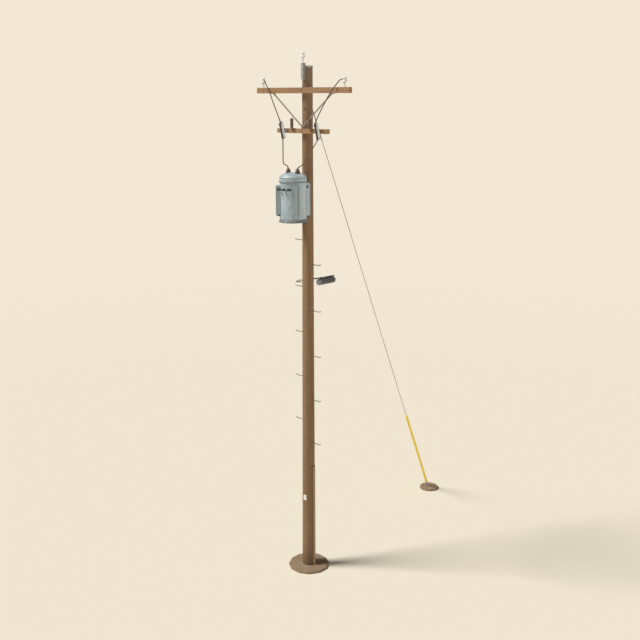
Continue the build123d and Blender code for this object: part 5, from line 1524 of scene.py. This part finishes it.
# ======================================================================
# ground-wire moulding staples, tag
# ======================================================================
g = Geo()
for z in (180, 560, 980, 1400, 1820, 2170):
    r = pole_r(z)
    pts = []
    for k in range(17):
        t = pi * k / 16 - pi / 2
        px = (r - 15) + (26 + 15 + 1.6) * max(0.0, cos(t))
        py = 53.5 * sin(t)
        rad = math.hypot(px, py)
        if rad < r + 1:
            px, py = px * (r + 1) / rad, py * (r + 1) / rad
        pts.append((px, py, z))
    g.tube(pts, 2.0, 8)
    for sy in (-1, 1):
        a = math.atan2(sy * 53.5, r - 15)
        g.tube([((r + 1) * cos(a), (r + 1) * sin(a), z), ((r - 8) * cos(a * 1.03), (r - 8) * sin(a * 1.03), z)], 2.0, 8)
make("guard_staples", g, M_RUSTY, angle=50)

g, gn = Geo(), Geo()
ZLO, ZHI = mm_box("pole_tag")
zt0, zt1 = ZLO[2], ZHI[2]
r = pole_r(zt0) + 0.3
half_a = math.asin(39.0 / (r + 3))
na = 24
for za, zb in ((zt0, (zt0 + zt1) / 2 - 3), ((zt0 + zt1) / 2 + 3, zt1)):
    vs, fs = [], []
    zrows = [za, za + 1.2, za + 4, za + 6] + [za + (zb - za) * k / 6 for k in range(1, 6)] + [zb - 6, zb - 4, zb - 1.2, zb]
    zrows = sorted(zrows)
    for layer in (0, 1):
        for z in zrows:
            for i in range(na + 1):
                a = -pi / 2 - half_a + 2 * half_a * i / na
                edge_ = min(z - za, zb - z, (1 - abs(2 * i / na - 1)) * 39)
                if layer == 0:
                    rr_ = r
                else:
                    rr_ = r + 1.9 - (0.7 if edge_ < 0.6 else 0.0) + (0.9 if 1.0 <= edge_ < 4.5 else 0.0)
                vs.append((rr_ * cos(a), rr_ * sin(a), z))
    m_ = na + 1
    nr = len(zrows)
    for layer in (0, 1):
        b = layer * nr * m_
        for i in range(nr - 1):
            for j in range(na):
                p = b + i * m_ + j
                q = (p, p + 1, p + m_ + 1, p + m_)
                fs.append(q if layer else q[::-1])
    o_ = nr * m_
    for i in range(nr - 1):
        for j in (0, na):
            p = i * m_ + j
            fs.append((p, p + m_, o_ + p + m_, o_ + p))
    for i in (0, nr - 1):
        for j in range(na):
            p = i * m_ + j
            fs.append((p, p + 1, o_ + p + 1, o_ + p))
    g.add(vs, fs)
    for sa in (-1, 1):
        a = -pi / 2 + sa * half_a * 0.72
        u = Vector((cos(a), sin(a), 0))
        gn.lathe(rounded([(0, 0), (4.2, 0), (3.6, 1.4), (0, 2.0)], 0.4), u * (r + 1.8) + Vector((0, 0, (za + zb) / 2)), u, 14)
make("tag_plates", g, M_TAG, replaces=("pole_tag",), angle=35)
make("tag_nails", gn, M_GALV_DARK, angle=40)


# ======================================================================
# collars of packed stone
# ======================================================================
def collar(name, node, rot_deg, inner, seed, hub=None, segs=180, rows=32):
    lo, hi = mm_box(node)
    cx, cy = (lo[0] + hi[0]) / 2, (lo[1] + hi[1]) / 2
    T = hi[2]
    R = 418.0 if node == "ground_collar" else 232.0
    if node == "ground_collar":
        cx = cy = 0.0
    hx, hy = hub or (cx, cy)
    apo = R * cos(pi / 12)
    verts, faces, stone, gap = [], [], [], []

    def cell(p):
        d, pts = noise.voronoi(p)
        h = math.sin(pts[0].x * 12.9898 + pts[0].y * 78.233 + pts[0].z * 37.7) * 43758.5453
        return d[0], d[1], h - math.floor(h)

    def reach(a):
        # distance from the hub to the twelve-sided edge along a
        best = 1e9
        for k in range(12):
            n = radians(rot_deg + 15 + 30 * k)
            den = cos(a) * cos(n) + sin(a) * sin(n)
            if den > 1e-6:
                best = min(best, (apo - (hx - cx) * cos(n) - (hy - cy) * sin(n)) / den)
        return best - 0.5

    top_rows, side_rows = rows, 6
    for i in range(top_rows + side_rows + 1):
        for j in range(segs):
            a = 2 * pi * j / segs
            ro = reach(a)
            if i <= top_rows:
                t = i / top_rows
                rr_ = inner + (ro - 12 - inner) * t
                z = T - 0.8 - 2.2 * t
            else:
                t = (i - top_rows) / side_rows
                rr_ = ro - 12 + 12 * min(1.0, t * 2.6)
                z = T - 3.0 - 9.0 * min(1.0, t * 2.6) if t < 0.385 else (T - 12.0) * (1 - (t - 0.385) / 0.615)
            p = Vector((hx + rr_ * cos(a), hy + rr_ * sin(a), z))
            q = Vector((p.x / 64 + seed, p.y / 64, p.z / 64))
            q2 = Vector((p.x / 19, p.y / 19 + seed, p.z / 19))
            f1, f2, cid = cell(q)
            g1, g2, cid2 = cell(q2)
            crev = 1 - smooth01((f2 - f1) / 0.22)
            crev2 = 1 - smooth01((g2 - g1) / 0.3)
            big = cid > 0.62
            lump = (2.4 * crev if big else 1.3) + 1.3 * crev2 * (0.3 if big else 1.0)
            lump += 1.6 * max(0.0, noise.noise(Vector((p.x / 130, p.y / 130, seed))))
            if i <= top_rows:
                p.z -= lump * (0.35 + 0.65 * smooth01(i / 2.0))
            elif i < top_rows + side_rows:
                p -= Vector((cos(a), sin(a), 0)) * (lump * 0.9)
            verts.append(p)
            stone.append(cid if big else cid2 * 0.55)
            gap.append(min(1.0, (crev * 0.55 if big else 0.12) + crev2 * (0.1 if big else 0.3)))
    n_ = top_rows + side_rows + 1
    for i in range(n_ - 1):
        for j in range(segs):
            k = (j + 1) % segs
            faces.append((i * segs + j, (i + 1) * segs + j, (i + 1) * segs + k, i * segs + k))
    # inner wall and underside
    b = len(verts)
    for j in range(segs):
        a = 2 * pi * j / segs
        verts.append(Vector((hx + inner * cos(a), hy + inner * sin(a), 0)))
        stone.append(0.3)
        gap.append(0.8)
    for j in range(segs):
        k = (j + 1) % segs
        faces.append((b + j, j, k, b + k))
        faces.append(((n_ - 1) * segs + j, b + j, b + k, (n_ - 1) * segs + k))
    g = Geo()
    g.add(verts, faces)
    return make(name, g, M_STONE, replaces=(node,), angle=50, attrs={"stone": stone, "gap": gap})


collar("pole_collar", "ground_collar", 8, 134.6, 2.0)
collar("guy_anchor_collar", "anchor_collar", 12, 11.2, 7.0, (0.0, 4812.0), 132, 24)

# ======================================================================
# finishes of the carried-over CAD pieces
# ======================================================================
FINISH = {
    "pole_cap": M_CAP, "pole_top_bracket": M_BRACKET, "brace_left": M_BRACE, "brace_right": M_BRACE,
    "brace_foot": M_BRACE, "cutout_castings": M_CAST, "cutout_brackets": M_GALV, "arrester_brackets": M_RUSTY,
    "transformer_hangers": M_GALV_DARK, "steps_left": M_STEP, "steps_right": M_STEP,
    "wire_guard": M_GUARD, "messenger_clamp": M_GALV_PALE, "guy_attachment": M_RUSTY, "anchor_rod": M_GALV,
}
for name, o in nodes.items():
    if o.hide_render:
        mat = M_GALV
    else:
        mat = FINISH[name]
    o.data.materials.clear()
    o.data.materials.append(mat)

# ======================================================================
# floor, light, camera
# ======================================================================
scene.view_settings.view_transform = "Standard"
scene.view_settings.look = "None"

CREAM = (0.888, 0.807, 0.665)
bm = bmesh.new()
radii = [0.6, 2, 5, 9, 14, 22, 40, 90, 220, 600]
segs = 96
rows = [[bm.verts.new((r * cos(2 * pi * k / segs), r * sin(2 * pi * k / segs), 0)) for k in range(segs)] for r in radii]
centre = bm.verts.new((0, 0, 0))
for k in range(segs):
    bm.faces.new((centre, rows[0][k], rows[0][(k + 1) % segs]))
    for a, b in zip(rows, rows[1:]):
        bm.faces.new((a[k], b[k], b[(k + 1) % segs], a[(k + 1) % segs]))
me = bpy.data.meshes.new("floor")
bm.to_mesh(me)
bm.free()
floor = bpy.data.objects.new("floor", me)
scene.collection.objects.link(floor)
floor.location = (0, 0, -0.0008)
fm = bpy.data.materials.new("floor")
fm.use_nodes = True
nt = fm.node_tree
b = nt.nodes["Principled BSDF"]
b.inputs["Base Color"].default_value = (0.80, 0.727, 0.592, 1)
b.inputs["Roughness"].default_value = 1.0
b.inputs["Specular IOR Level"].default_value = 0.0
em = nt.nodes.new("ShaderNodeEmission")
em.inputs["Color"].default_value = (*CREAM, 1)
mixs = nt.nodes.new("ShaderNodeMixShader")
tc = nt.nodes.new("ShaderNodeTexCoord")
ln = nt.nodes.new("ShaderNodeVectorMath")
ln.operation = "LENGTH"
mr = nt.nodes.new("ShaderNodeMapRange")
mr.interpolation_type = "SMOOTHSTEP"
mr.inputs["From Min"].default_value = 13.0
mr.inputs["From Max"].default_value = 34.0
nt.links.new(tc.outputs["Object"], ln.inputs[0])
nt.links.new(ln.outputs["Value"], mr.inputs["Value"])
nt.links.new(mr.outputs[0], mixs.inputs[0])
nt.links.new(b.outputs[0], mixs.inputs[1])
nt.links.new(em.outputs[0], mixs.inputs[2])
nt.links.new(mixs.outputs[0], nt.nodes["Material Output"].inputs["Surface"])
me.materials.append(fm)

world = bpy.data.worlds.new("studio")
scene.world = world
world.use_nodes = True
wt = world.node_tree
bg = wt.nodes["Background"]
bg.inputs["Color"].default_value = (1.0, 0.98, 0.94, 1)
bg.inputs["Strength"].default_value = 0.15
bg2 = wt.nodes.new("ShaderNodeBackground")
bg2.inputs["Color"].default_value = (*CREAM, 1)
bg2.inputs["Strength"].default_value = 1.0
lp = wt.nodes.new("ShaderNodeLightPath")
either = wt.nodes.new("ShaderNodeMath")
either.operation = "MAXIMUM"
wt.links.new(lp.outputs["Is Camera Ray"], either.inputs[0])
gl = wt.nodes.new("ShaderNodeMath")
gl.operation = "MULTIPLY"
gl.inputs[1].default_value = 0.6
wt.links.new(lp.outputs["Is Glossy Ray"], gl.inputs[0])
wt.links.new(gl.outputs[0], either.inputs[1])
ms = wt.nodes.new("ShaderNodeMixShader")
wt.links.new(either.outputs[0], ms.inputs[0])
wt.links.new(bg.outputs[0], ms.inputs[1])
wt.links.new(bg2.outputs[0], ms.inputs[2])
wt.links.new(ms.outputs[0], wt.nodes["World Output"].inputs["Surface"])


def sun(name, az, el, energy, angle, colour, shadow=True):
    lamp = bpy.data.lights.new(name, "SUN")
    lamp.energy = energy
    lamp.angle = radians(angle)
    lamp.color = colour
    lamp.use_shadow = shadow
    ob = bpy.data.objects.new(name, lamp)
    scene.collection.objects.link(ob)
    a, e = radians(az), radians(el)
    d = Vector((cos(a) * cos(e), sin(a) * cos(e), sin(e)))
    ob.rotation_euler = d.to_track_quat("Z", "Y").to_euler()
    return ob


sun("key", 222.9, 50, 3.64, 17.2, (1.0, 1.0, 1.0))
sun("fill", -7.0, 13, 0.66, 30.0, (1.0, 1.0, 1.0), shadow=False)

cam = bpy.data.cameras.new("camera")
cam.lens = 50
cam.sensor_width = 36
cam.clip_end = 1500
co = bpy.data.objects.new("camera", cam)
scene.collection.objects.link(co)
co.location = (10.441, -13.301, 9.506)
co.rotation_euler = (radians(76.008), 0, radians(37.345))
scene.camera = co
